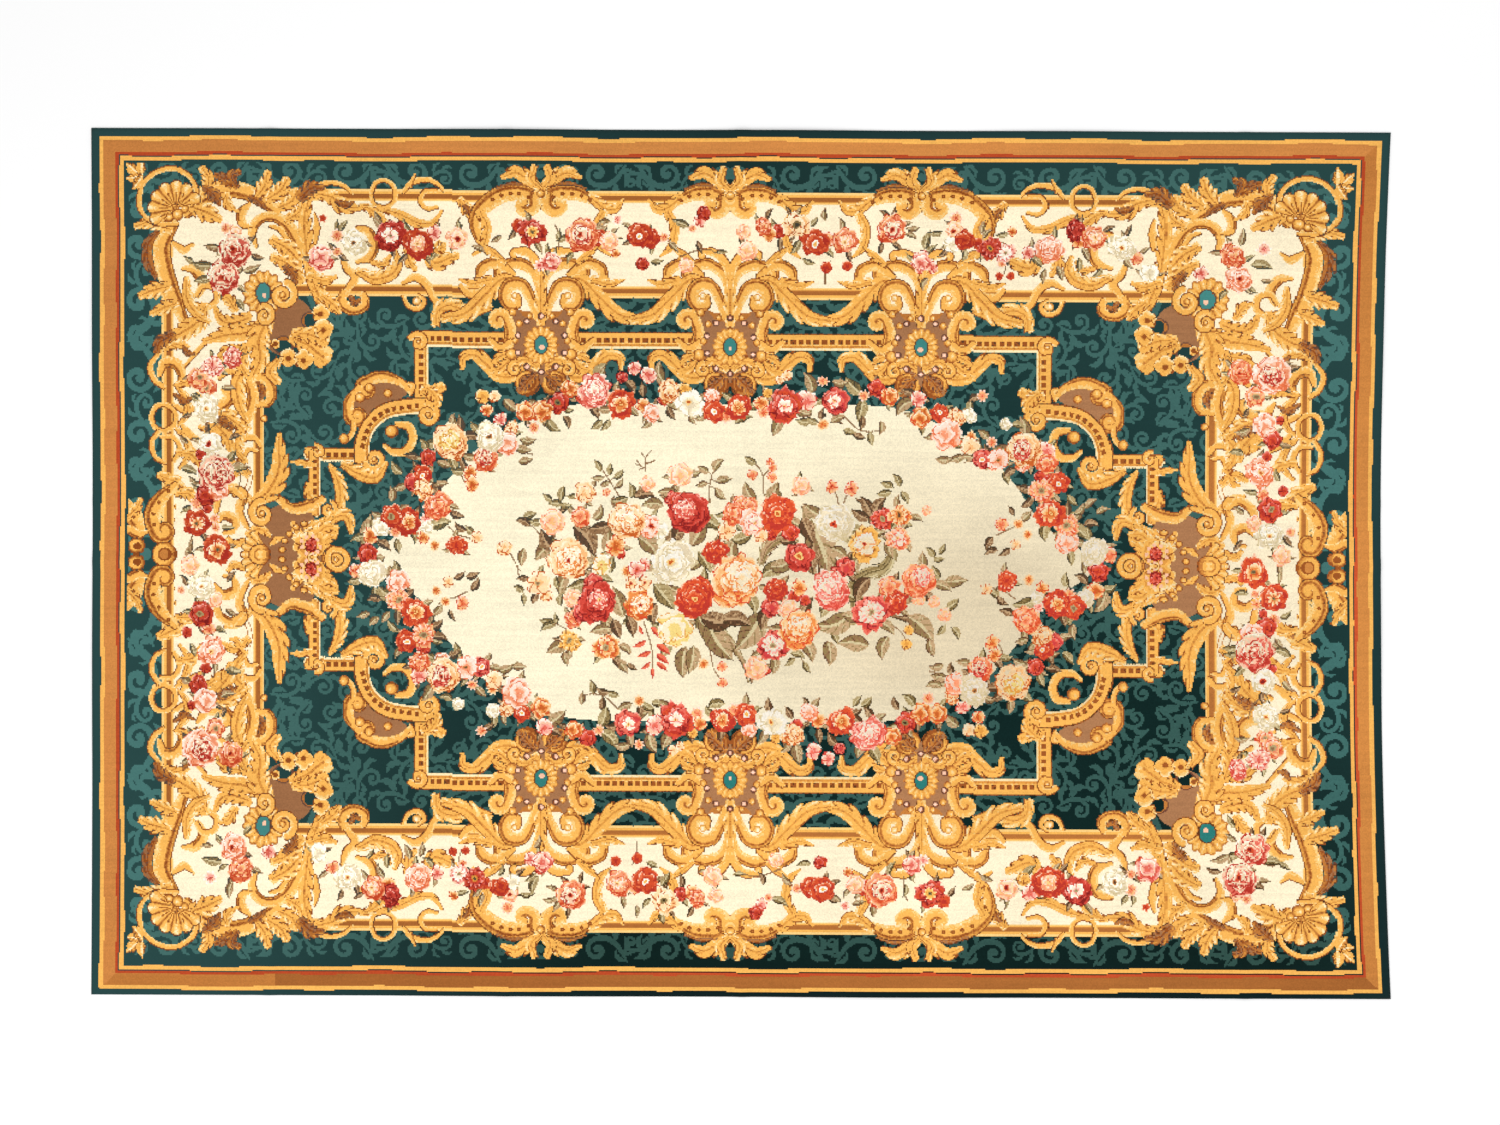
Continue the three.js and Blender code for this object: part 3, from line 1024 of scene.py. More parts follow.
class Corner(TopCartouche):
    """The corner piece: shell, rosette, acanthus frame and cream ground."""

    def paint(self) -> None:
        """Paints the quadrant's corner."""
        c = self.c
        self.area(
            Yarn.CREAM, (-119, 50), (-120, 62), (-117, 70), (-112, 74), (-106, 76.4), (-99, 75), (-93, 70),
            (-90.6, 63),
            (-93, 58), (-100, 50), (-110, 46),
        )
        self.area(Yarn.MAUVE, (-100, 53), (-96, 54.6), (-91.6, 54.6), (-89, 50), (-92, 46), (-96, 43),
                  (-99.6, 46))
        self.scrolls(
            ([(-119.6, 70.4), (-122, 66), (-121.6, 61.4), (-120.2, 57), (-118.4, 52.6), (-117, 49.4)],
             (1, 1.5, 1.6, 1.5, 1.3, 0.9), -1),
            ([(-116.4, 72.6), (-113.6, 76.2), (-109.6, 78), (-105, 77.8), (-101, 76.2), (-97, 73.4)],
             (0.9, 1.5, 1.6, 1.5, 1.3, 0.9), 1),
            ([(-101.6, 66), (-102.4, 69), (-101, 71.6), (-98, 72.3), (-95, 70.8), (-92.8, 67.6),
              (-91, 63.6)],
             (0.4, 0.8, 0.9, 1, 1.1, 1.1, 0.7), 1),
            ([(-103, 75), (-104.8, 73), (-104.4, 70.6), (-102.6, 70.2)], (0.4, 0.9, 0.8, 0.3), 1),
            ([(-117.6, 61), (-115, 60.8), (-113.2, 58.4), (-114.2, 55.6)], (0.4, 0.9, 1, 0.5), 1),
            ([(-114.6, 55.6), (-113.2, 57.6), (-110.8, 57), (-110.4, 54.6), (-112.4, 53.2), (-114.6, 53.8)],
             (0.5, 0.6, 0.6, 0.5), 1),
            ([(-119.6, 66.4), (-117.2, 65), (-115.2, 66.4)], (0.5, 0.8, 0.3), -1),
            ([(-98.4, 70.2), (-96.4, 69.6), (-94.8, 67.4)], (0.3, 0.6, 0.4), 1),
        )
        self.fronds(
            ([(-120.6, 69.4), (-124.2, 70.8), (-127.6, 70)], (0.9, 1.3, 0.6), 3, 0),
            ([(-112.8, 77.2), (-111.8, 80), (-113, 82.2)], (0.9, 1.2, 0.7), 3, 0),
            ([(-101.4, 76.6), (-99.6, 79), (-99, 81.2)], (0.9, 1.5, 0.8), 3, 0),
            ([(-98.6, 76.2), (-96.2, 77.8), (-95, 79.8)], (0.9, 1.5, 0.8), 3, 0),
            ([(-96.2, 74.4), (-93.8, 75.6), (-92.8, 77.6)], (0.9, 1.3, 0.7), 3, 0),
            ([(-94.6, 71.8), (-92.4, 73.2), (-91.6, 75)], (0.8, 1.1, 0.6), 3, 0),
            ([(-121, 57.2), (-124, 56.4), (-126.6, 55.4)], (0.9, 1.5, 0.7), 3, 0),
            ([(-119.4, 53.6), (-122, 52.6), (-124, 51.6)], (0.8, 1.2, 0.6), 3, 0),
            ([(-115, 74.2), (-112.4, 73.2), (-109.6, 71.8)], (1.2, 1.8, 0.7), 3, 0),
            ([(-108, 76.6), (-107.4, 74.6), (-105.6, 73.4)], (0.8, 0.9, 0.3), 3, 0),
            ([(-112.8, 53), (-114.4, 49.8), (-117.6, 47.6), (-121, 46.2)], (1, 1.6, 1.6, 0.8), 5, 0),
            ([(-116.8, 58.8), (-116.6, 54.8), (-114.6, 51.6), (-112, 50)], (0.6, 1.2, 1.2, 0.5), 4, 1),
            ([(-103.6, 50.8), (-106.8, 49.8), (-109.4, 50.6), (-110.6, 53)], (1.1, 1.5, 1.2, 0.5), 4, -1),
            ([(-101.4, 48.6), (-104.8, 47.6), (-108.6, 47.2), (-112.8, 46)], (1.3, 1.8, 1.5, 0.6), 5, -1),
            ([(-99.6, 50), (-101.2, 46), (-100.8, 42.4), (-102.4, 38.6)], (1.5, 2.1, 1.7, 0.7), 5, 0),
            ([(-97, 41.8), (-98.6, 39.6), (-97.2, 37.6)], (0.8, 1.3, 0.9), 3, 1),
            ([(-97.6, 67.2), (-94.6, 65.4), (-92.2, 62.8)], (0.9, 1.7, 1), 4, 0),
            ([(-97.4, 63.6), (-94.6, 62.2), (-92, 59.4)], (0.9, 1.6, 1), 4, 0),
            ([(-90.6, 62.4), (-89, 58), (-87, 54.4), (-84.2, 52.2)], (1, 1.7, 1.6, 0.5), 5, 1),
            ([(-90, 59.8), (-86.8, 58.8), (-84.4, 59.6)], (0.8, 1.1, 0.4), 3, 0),
            ([(-90.4, 62.4), (-91, 67.6), (-91.2, 72), (-90.2, 76.2)], (1, 1.4, 1.3, 0.7), 5, -1),
            ([(-106.2, 52.8), (-107.6, 55), (-109.4, 55.6)], (0.7, 1.1, 0.4), 3, 0),
        )
        self.fronds(
            ([(-107, 78.8), (-108.6, 80.4), (-110.4, 81)], (0.5, 1.2, 0.5), 3, 0),
            ([(-105.8, 78.8), (-106.8, 80.8), (-105.4, 81.6)], (0.6, 1.1, 0.6), 3, 0),
            ([(-123.2, 68.4), (-125, 66), (-125, 62.6), (-123.4, 59.4)], (0.6, 1.2, 1.2, 0.5), 4, -1),
            ([(-91.6, 76.8), (-89.6, 78.4), (-87.4, 78.4)], (1.1, 1.4, 0.6), 3, 0),
            ([(-112.4, 78.2), (-110.8, 76.8), (-109.6, 75)], (0.7, 1.2, 0.5), 3, 0),
            ([(-120.2, 46.8), (-122.6, 45.4), (-123.2, 43.6)], (0.9, 1.2, 0.6), 3, 0),
            ([(-102.8, 76.4), (-101, 75.4), (-99.4, 73.8)], (0.5, 0.8, 0.3), 3, 0),
            ([(-95, 61.6), (-93.6, 60.2), (-93, 58.4)], (0.6, 1, 0.4), 3, 0),
            ramp=BRONZE,
        )
        ring = [(-119, 70.4), (-123.6, 70.6), (-126.9, 73.6), (-126.6, 78), (-123.6, 81.2), (-119.6, 82.2)]
        self.scrolls(([*ring, (-116, 80.6), (-114.4, 77.6), (-115.6, 74.6)], (0.5, 0.5), -1))
        self.fan(-119, 73.6, 6.2, 16, 220, 7)
        for x, y, r in ((-118.6, 72.4, 1.3), (-116.9, 73.6, 0.9), (-120.4, 71.8, 0.9)):
            c.disc(x, y, r, r, GILT_SOFT)
        for angle, length in ((140, 4.4), (88, 3.8), (188, 3.6), (232, 3.6)):
            c.leaf(-126.4, 80.6, angle, length, 0.7, GILT, 0.05, 3)
        self.rosette(-100, 56.2, 4.7, 5, 14)
        self.volute(-95.8, 55.8, 2.9, 1.4, 70, -1, 0.85)
        self.volute(-99.8, 51.4, 2.3, 1.3, 100, -1, 0.75)
        self.bells()

    def bells(self) -> None:
        """Paints the gilt bell flowers that hang from the corner into the field."""
        c = self.c
        c.disc(-89.8, 50.4, 2.1, 2, (Yarn.MAUVE_DEEP, Yarn.TOFFEE, Yarn.TOFFEE))
        c.disc(-89.8, 50.4, 1.5, 1.5, (Yarn.GROUND,))
        c.disc(-95.6, 45.2, 2.3, 2, (Yarn.MAUVE_DEEP, Yarn.TOFFEE, Yarn.TOFFEE))
        c.disc(-95.6, 44.8, 1.7, 1.5, (Yarn.GROUND,))
        self.fronds(
            ([(-93.4, 46.6), (-90.8, 45.4), (-87.6, 43.2)], (1, 2, 2), 4, 0),
            ([(-93, 47.8), (-90, 47.4), (-87, 46.4)], (0.8, 1.4, 1.2), 3, 0),
            ([(-87, 55.4), (-85, 54), (-83.6, 52.2)], (0.8, 1.2, 0.4), 3, 0),
        )
        for x, y, r in ((-87.6, 51.8, 1.9), (-87, 48.4, 2.1), (-94.6, 42.4, 1.9), (-91.4, 42, 2),
                        (-97.4, 45.4, 1)):
            c.flower(Flower(x, y, r, Bloom.STAR, Tint.GILT))
            c.disc(x, y, 0.55, 0.55, (Yarn.RUST,))


class BorderRings(Ornament):
    """The rings, curls and leaves hooked over the mouldings between the cartouches."""

    def paint(self) -> None:
        """Paints those of the quadrant."""
        self.left()
        self.top()

    def left(self) -> None:
        """Paints those of the short border."""
        self.scrolls(
            ([(-122.4, 43.6), (-124.6, 40.6), (-123.8, 37.6), (-121.8, 36)], (0.4, 0.6, 0.5), 1),
            ([(-122.6, 38.6), (-121.6, 41.2), (-119, 40.8), (-117.8, 38.4), (-118.6, 36)], (0.5, 1, 1, 0.5),
             1),
            ([(-124.4, 29.6), (-123.4, 31.8), (-121.2, 32.2), (-119.4, 30.6), (-119.6, 28.2),
              (-121.6, 26.9),
              (-123.6, 27.6), (-124.4, 29.6)], (0.5, 0.5), 1),
            ([(-123, 26.6), (-124.4, 24), (-123.6, 21), (-121.6, 19.8)], (0.5, 0.5, 0.4), 1),
            ([(-122.2, 25.4), (-119.6, 25.2), (-118.4, 22.6), (-119.6, 20.4)], (0.5, 0.5), 1),
            ([(-109.6, 38), (-107, 39.6), (-103.6, 38), (-102.4, 33.6), (-104, 29.2), (-107.4, 27.6)],
             (0.5, 0.9, 1, 1.1, 1, 0.6), 1),
            ([(-114.4, 34.6), (-112.4, 32.2), (-109.4, 32), (-107.4, 34), (-108.8, 35.6)],
             (0.4, 1, 1.2, 1.1, 0.5), 1),
            ([(-111.4, 30.6), (-108.4, 30.8), (-105, 30.6)], (0.3, 0.6, 0.4), 1),
            ([(-117.2, 40.2), (-114.6, 43.4), (-112.4, 45.8)], (0.3, 0.5, 0.4), 1),
            ([(-119.6, 32.2), (-117, 31), (-114.6, 31.6)], (0.4, 0.8, 0.3), 1),
            ([(-118.4, 28.6), (-116.2, 26.2), (-113.6, 24.4)], (0.4, 0.8, 0.4), 1),
            ([(-117.8, 25.2), (-116, 23.4), (-115.2, 21.4)], (0.3, 0.6, 0.3), 1),
            ([(-102.8, 38.4), (-99.8, 38.2), (-98.2, 35.8), (-98.8, 33), (-101.4, 32.2)],
             (0.6, 0.9, 1, 0.9, 0.5), -1),
            ([(-105.6, 22), (-104.6, 24.8), (-102.2, 25.4), (-100.8, 23.8)], (0.4, 0.6, 0.5), 1),
            ([(-104.2, 20.6), (-103.4, 22.8), (-101.6, 22.6)], (0.3, 0.5, 0.4), 1),
            ([(-108.2, 15), (-105.8, 14.2), (-104.6, 11.4), (-105.4, 8.4)], (0.4, 1, 1.1, 0.6), 1),
            ([(-110, 9.2), (-108, 11), (-105.8, 9.8), (-106.2, 7.2), (-108, 6.6)], (0.5, 0.8, 0.8, 0.5), 1),
            ([(-108.8, 3.6), (-106.6, 4.8), (-104.4, 3.4)], (0.4, 0.8, 0.4), 1),
        )
        self.c.band(trace([(-105.4, 20.6), (-103.6, 19), (-103, 16.4), (-104, 13), (-103.2, 9.8),
                           (-101.2, 8.4)]), (0.5, 0.6), Yarn.TOFFEE)
        self.c.band(trace([(-105.4, 20.8), (-103.6, 19.2), (-103, 16.4), (-104, 13), (-103.2, 9.8),
                           (-101.2, 8.6)]), (0.3, 0.4), Yarn.CREAM)
        self.fronds(
            ([(-109.8, 28.6), (-108.4, 25.6), (-105, 24)], (0.9, 1.5, 0.7), 3, 0),
            ([(-104, 41), (-105.8, 37), (-105.4, 32.6), (-103.8, 29)], (0.9, 1.5, 1.4, 0.5), 5, 1),
            ([(-103.8, 27.6), (-105.8, 25.4), (-105.8, 22.6), (-104, 20.2)], (0.8, 1.3, 1.2, 0.5), 4, 1),
            ([(-112.4, 29.8), (-110.4, 28), (-108, 25.6), (-107.2, 22.8)], (0.8, 1.6, 1.6, 0.6), 4, 0),
            ([(-119.2, 36.4), (-117.2, 33.8), (-116.6, 30.8), (-118.6, 28.2)], (0.5, 0.9, 0.9, 0.4), 4, 1),
            ([(-119, 27), (-117, 24.6), (-116.4, 21.6), (-118.4, 18.8)], (0.5, 0.8, 0.8, 0.4), 4, 1),
            ([(-119.2, 7.2), (-117.8, 4.6), (-118, 2)], (0.5, 0.8, 0.4), 3, 1),
            ([(-118.6, 36.6), (-115.8, 37.2), (-113.4, 36)], (0.6, 1, 0.5), 3, 0),
            ([(-118.6, 22), (-115.6, 21.4), (-113.6, 19)], (0.6, 1.1, 0.5), 3, 0),
            ([(-118.8, 10.4), (-116.6, 9.6), (-115.8, 7.2)], (0.6, 0.9, 0.4), 3, 0),
            ([(-111, 31), (-107.6, 29.6), (-104.6, 27.4)], (0.7, 1.3, 0.7), 4, 0),
            ([(-103.6, 17.6), (-106, 19.4), (-108.6, 18.4)], (0.7, 1.1, 0.5), 3, 0),
            ([(-103.4, 12.4), (-105.8, 10.6), (-107.2, 7.6)], (0.6, 1.1, 0.5), 3, 0),
            ([(-104.6, 44.6), (-108, 43.8), (-110.6, 41.4)], (0.7, 1.2, 0.5), 4, 0),
            ([(-103.4, 3.6), (-105, 2.4), (-106.6, 2.6)], (0.5, 0.7, 0.3), 2, 0),
            ([(-122.4, 17), (-119.6, 15.6), (-117, 12.8)], (0.8, 1.4, 0.7), 3, 0),
            ([(-103.8, 44.6), (-104.8, 41.2), (-103.4, 38.4)], (0.9, 1.2, 0.5), 3, 0),
            ([(-121.4, 44), (-119.4, 45), (-116.4, 44.6)], (0.5, 0.9, 0.4), 3, 0),
            ([(-113.8, 27.6), (-111.6, 26.4), (-110, 24.6)], (0.4, 0.8, 0.4), 3, 0),
            ([(-104.4, 20), (-105.8, 17.8), (-107.2, 17.4)], (0.4, 0.8, 0.3), 2, 0),
        )
        self.fronds(
            ([(-119.4, 34.4), (-117.4, 33), (-115.2, 34)], (0.4, 0.7, 0.3), 3, 0),
            ([(-117.4, 44.4), (-116.4, 43.2), (-115.2, 43)], (0.4, 0.7, 0.3), 2, 0),
            ([(-110.6, 29.4), (-108.6, 28.6), (-106.8, 27.6)], (0.6, 1, 0.5), 3, 0),
            ([(-100.6, 36.4), (-100.2, 35), (-100.6, 33.8)], (0.5, 0.7, 0.4), 2, 0),
            ([(-118.8, 14.8), (-117.6, 13.2), (-116, 12.8)], (0.3, 0.6, 0.3), 2, 0),
            ramp=BRONZE,
        )
        self.c.disc(-99.9, 29.4, 0.9, 0.8, GILT_SOFT)

    def top(self) -> None:
        """Paints those of the long border."""
        self.scrolls(
            ([(-76.6, 77), (-75.6, 79.4), (-73.6, 80), (-71.8, 78.6), (-71.6, 76), (-73.4, 74.5),
              (-75.8, 75),
              (-76.6, 77)], (0.45, 0.45), 1),
            ([(-69.8, 77.6), (-67.8, 79.6), (-64.8, 80.2), (-62.2, 79.2), (-61, 77.8)],
             (0.4, 0.6, 0.5, 0.3), 1),
            ([(-68.4, 79), (-67.2, 81.4)], (0.5, 0.2), 1),
            ([(-62.6, 78), (-65.2, 77.8), (-66.2, 75.8), (-64.8, 74.1), (-62.4, 74.4)], (0.4, 0.5, 0.4), 1),
            ([(-89.4, 78.4), (-85.6, 79.5), (-82.6, 78.8), (-81, 77.4)], (0.5, 0.5, 0.4), 1),
            ([(-79.6, 70), (-77.2, 69.2), (-76, 66.4), (-77, 63.8), (-79.8, 62.8)], (0.5, 0.9, 1, 0.9, 0.4),
             -1),
            ([(-83, 64.2), (-82, 61.4), (-80.2, 59.6), (-81.6, 57.4), (-82.4, 55.8)],
             (0.4, 0.7, 0.8, 0.7, 0.5), 1),
            ([(-82.6, 56.4), (-83, 54.2), (-80.8, 52.8), (-78.2, 53.8), (-78.4, 56)], (0.7, 1, 1.1, 1, 0.6),
             1),
            ([(-69.8, 58.4), (-67.2, 59.6), (-64.8, 58), (-63, 54.8), (-60.6, 53.6)],
             (0.4, 0.8, 0.8, 0.7, 0.5), 1),
            ([(-69.8, 55.6), (-68.8, 53.6), (-66.6, 53), (-65.2, 54.6), (-66.6, 56)], (0.4, 0.5, 0.5, 0.3),
             1),
            ([(-88.8, 67), (-88.4, 70.4), (-88.8, 72.8)], (0.6, 0.8, 0.4), 1),
            ([(-57.4, 58), (-55.6, 56.4), (-53, 57)], (0.5, 0.8, 0.5), 1),
        )
        self.c.disc(-66.9, 54.6, 0.9, 0.9, (Yarn.OCHRE, Yarn.STRAW, Yarn.CREAM))
        self.fronds(
            ([(-88, 77.2), (-85, 76.4), (-82.8, 74.6), (-79.4, 74.2)], (0.9, 1.3, 1.4, 0.6), 4, 0),
            ([(-78.8, 74.6), (-76.2, 73.6), (-73.6, 71.2)], (0.5, 1.1, 0.5), 3, 0),
            ([(-74.6, 74.2), (-70.6, 73), (-66.8, 71.2), (-63.4, 71.2), (-61.4, 73.6)],
             (0.5, 0.9, 1, 0.8, 0.3), 4, -1),
            ([(-79.4, 60.6), (-76, 59.2), (-72.4, 60.2), (-70.8, 62.6), (-71.4, 65)],
             (0.8, 1.3, 1.5, 1.2, 0.5), 5, 1),
            ([(-76.4, 62.6), (-74, 62.4), (-72.6, 64)], (0.4, 0.8, 0.4), 3, 0),
            ([(-68.8, 65.6), (-68.6, 63.2), (-67.4, 61.4)], (0.8, 1.2, 0.5), 3, 0),
            ([(-65.4, 65.4), (-62.8, 62.8), (-58.4, 64.4)], (0.9, 1.6, 0.7), 4, 0),
            ([(-62.6, 50.2), (-62.2, 52.6), (-59.4, 53.8), (-55.6, 52.6), (-51.4, 53.4)],
             (1, 1.3, 1.3, 1.3, 0.7), 5, 1),
            ([(-57.4, 76), (-56, 74.2), (-54.2, 72.2)], (0.7, 1.2, 0.5), 3, 0),
        )
        self.fronds(
            ([(-84.2, 75.6), (-82.2, 74.8), (-80.6, 75.4)], (0.4, 0.7, 0.3), 2, 0),
            ([(-81.2, 55.4), (-80.4, 54.2), (-79.4, 54.6)], (0.4, 0.7, 0.4), 2, 0),
            ([(-56.6, 75), (-55.4, 73.6), (-54.4, 73.6)], (0.4, 0.7, 0.3), 2, 0),
            ramp=BRONZE,
        )


class Medallion(Ornament):
    """The cream field in the middle of the rug."""

    def paint(self) -> None:
        """Fills the quadrant's share of the cream."""
        self.area(
            Yarn.IVORY, (2, 33.5), (-18, 33.5), (-34, 33), (-44, 29.5), (-53, 24.5), (-60, 17), (-65.5, 9),
            (-72, 4.5),
            (-76, 1), (-72, -6), (-50, -12), (2, -12),
        )


class Posy(Ornament):
    """Flowers and leaves over the finished grounds, each charted at its own place in centimetres."""

    LEAF_LENGTH: float = 2.1
    LEAF_WIDTH: float = 0.56
    FILLER_SHARE: float = 1.0
    FILLED_FROM: float = 1.7
    STEM: tuple[float, float] = (0.17, 0.13)
    STALK: tuple[float, float] = (0.14, 0.14)
    STALK_REACH: tuple[float, float] = (0.3, 1.9)
    STEMS: tuple = ()
    LEAVES: dict = {}
    FLOWERS: dict = {}
    INNER: dict = {}

    def flowers(self, turned: bool) -> list[Flower]:
        """Lists the posy's flowers, and their images turned half round where they have them.

        Args:
            turned: Whether each flower has an image on the other side of the rug's middle.

        Returns:
            The flowers, the smallest first, so that the larger ones lie over them.
        """
        made = [
            Flower(*row, *kind)
            for kind, rows in self.FLOWERS.items()
            for row in rows
        ]
        if turned:
            made += [replace(one, x=-one.x, y=-one.y) for one in made]
        return sorted(made, key=lambda one: one.radius)

    def arrange(self, turned: bool = True, filler: int = 5) -> None:
        """Paints the stems, then the leaves, then the flowers.

        Args:
            turned: Whether everything is painted again half round the rug's middle.
            filler: How many small leaves peep out behind each larger flower.
        """
        flowers = self.flowers(turned)
        for sign in (1, -1) if turned else (1,):
            for stem in self.STEMS:
                self.c.band(trace(sign * np.array(stem)), self.STEM, Yarn.TAUPE)
            for foot, joint in self.stalks():
                self.c.band(trace(sign * np.array((joint, foot))), self.STALK, Yarn.TAUPE)
        for one in flowers:
            if one.radius > self.FILLED_FROM:
                self.fill(one, filler)
        for sign in (1, -1) if turned else (1,):
            for ramp, rows in self.LEAVES.items():
                for x, y, size, *way in rows:
                    self.leaf_at(sign * x, sign * y, size, ramp, flowers,
                                 [angle + 90 - 90 * sign for angle in way])
        inner = [Flower(*row, *kind) for kind, rows in self.INNER.items() for row in rows]
        if turned:
            inner += [replace(one, x=-one.x, y=-one.y) for one in inner]
        for one in (*flowers, *inner):
            self.c.flower(one, self.c.random.random())

    def stalks(self) -> list[tuple]:
        """Finds where the leaves that have a way of their own join the stems.

        Returns:
            The foot of each such leaf near a stem, and the nearest place on that stem.
        """
        stems = np.vstack([trace(stem) for stem in self.STEMS])
        made = []
        for x, y, size, *way in (leaf for rows in self.LEAVES.values() for leaf in rows):
            if way:
                turn = math.radians(way[0])
                foot = np.array([x - 0.8 * size * math.cos(turn), y - 0.8 * size * math.sin(turn)])
                away = np.hypot(*(stems - foot).T)
                if self.STALK_REACH[0] < away.min() < self.STALK_REACH[1]:
                    made.append((foot, stems[away.argmin()]))
        return made

    def fill(self, one: Flower, filler: int) -> None:
        """Paints the small leaves that peep out behind a flower.

        Args:
            one: The flower.
            filler: How many leaves it has.
        """
        rng = self.c.random
        first = rng.uniform(0, 360)
        for step in range(filler):
            angle = first + 360 / filler * step + rng.uniform(-30, 30)
            way = math.radians(angle)
            foot = 0.62 * one.radius
            ramp = (GREENERY, AUTUMN, DUSK, AUTUMN)[rng.integers(4)]
            length = one.radius * rng.uniform(0.8, 1.25) * self.FILLER_SHARE
            spot = (one.x + foot * math.cos(way), one.y + foot * math.sin(way))
            self.c.leaf(*spot, angle + rng.uniform(-25, 25), length, self.LEAF_WIDTH, ramp,
                        rng.uniform(-0.2, 0.2))

    def leaf_at(
        self, x: float, y: float, size: float, ramp: Ramp, flowers: list[Flower], way: Sequence[float]
    ) -> None:
        """Paints a leaf about a place, pointing away from the nearest flower where no way is given.

        Args:
            x: Its middle along the rug.
            y: Its middle across the rug.
            size: Half its length.
            ramp: Its yarns.
            flowers: The flowers round it.
            way: The direction it points in, in degrees, or nothing.
        """
        near = min(flowers, key=lambda one: (one.x - x) ** 2 + (one.y - y) ** 2)
        angle = way[0] if way else math.degrees(math.atan2(y - near.y, x - near.x))
        turn = math.radians(angle)
        foot = (x - size * math.cos(turn), y - size * math.sin(turn))
        bend = self.c.random.uniform(-0.18, 0.18)
        self.c.leaf(*foot, angle, self.LEAF_LENGTH * size, self.LEAF_WIDTH, ramp, bend)


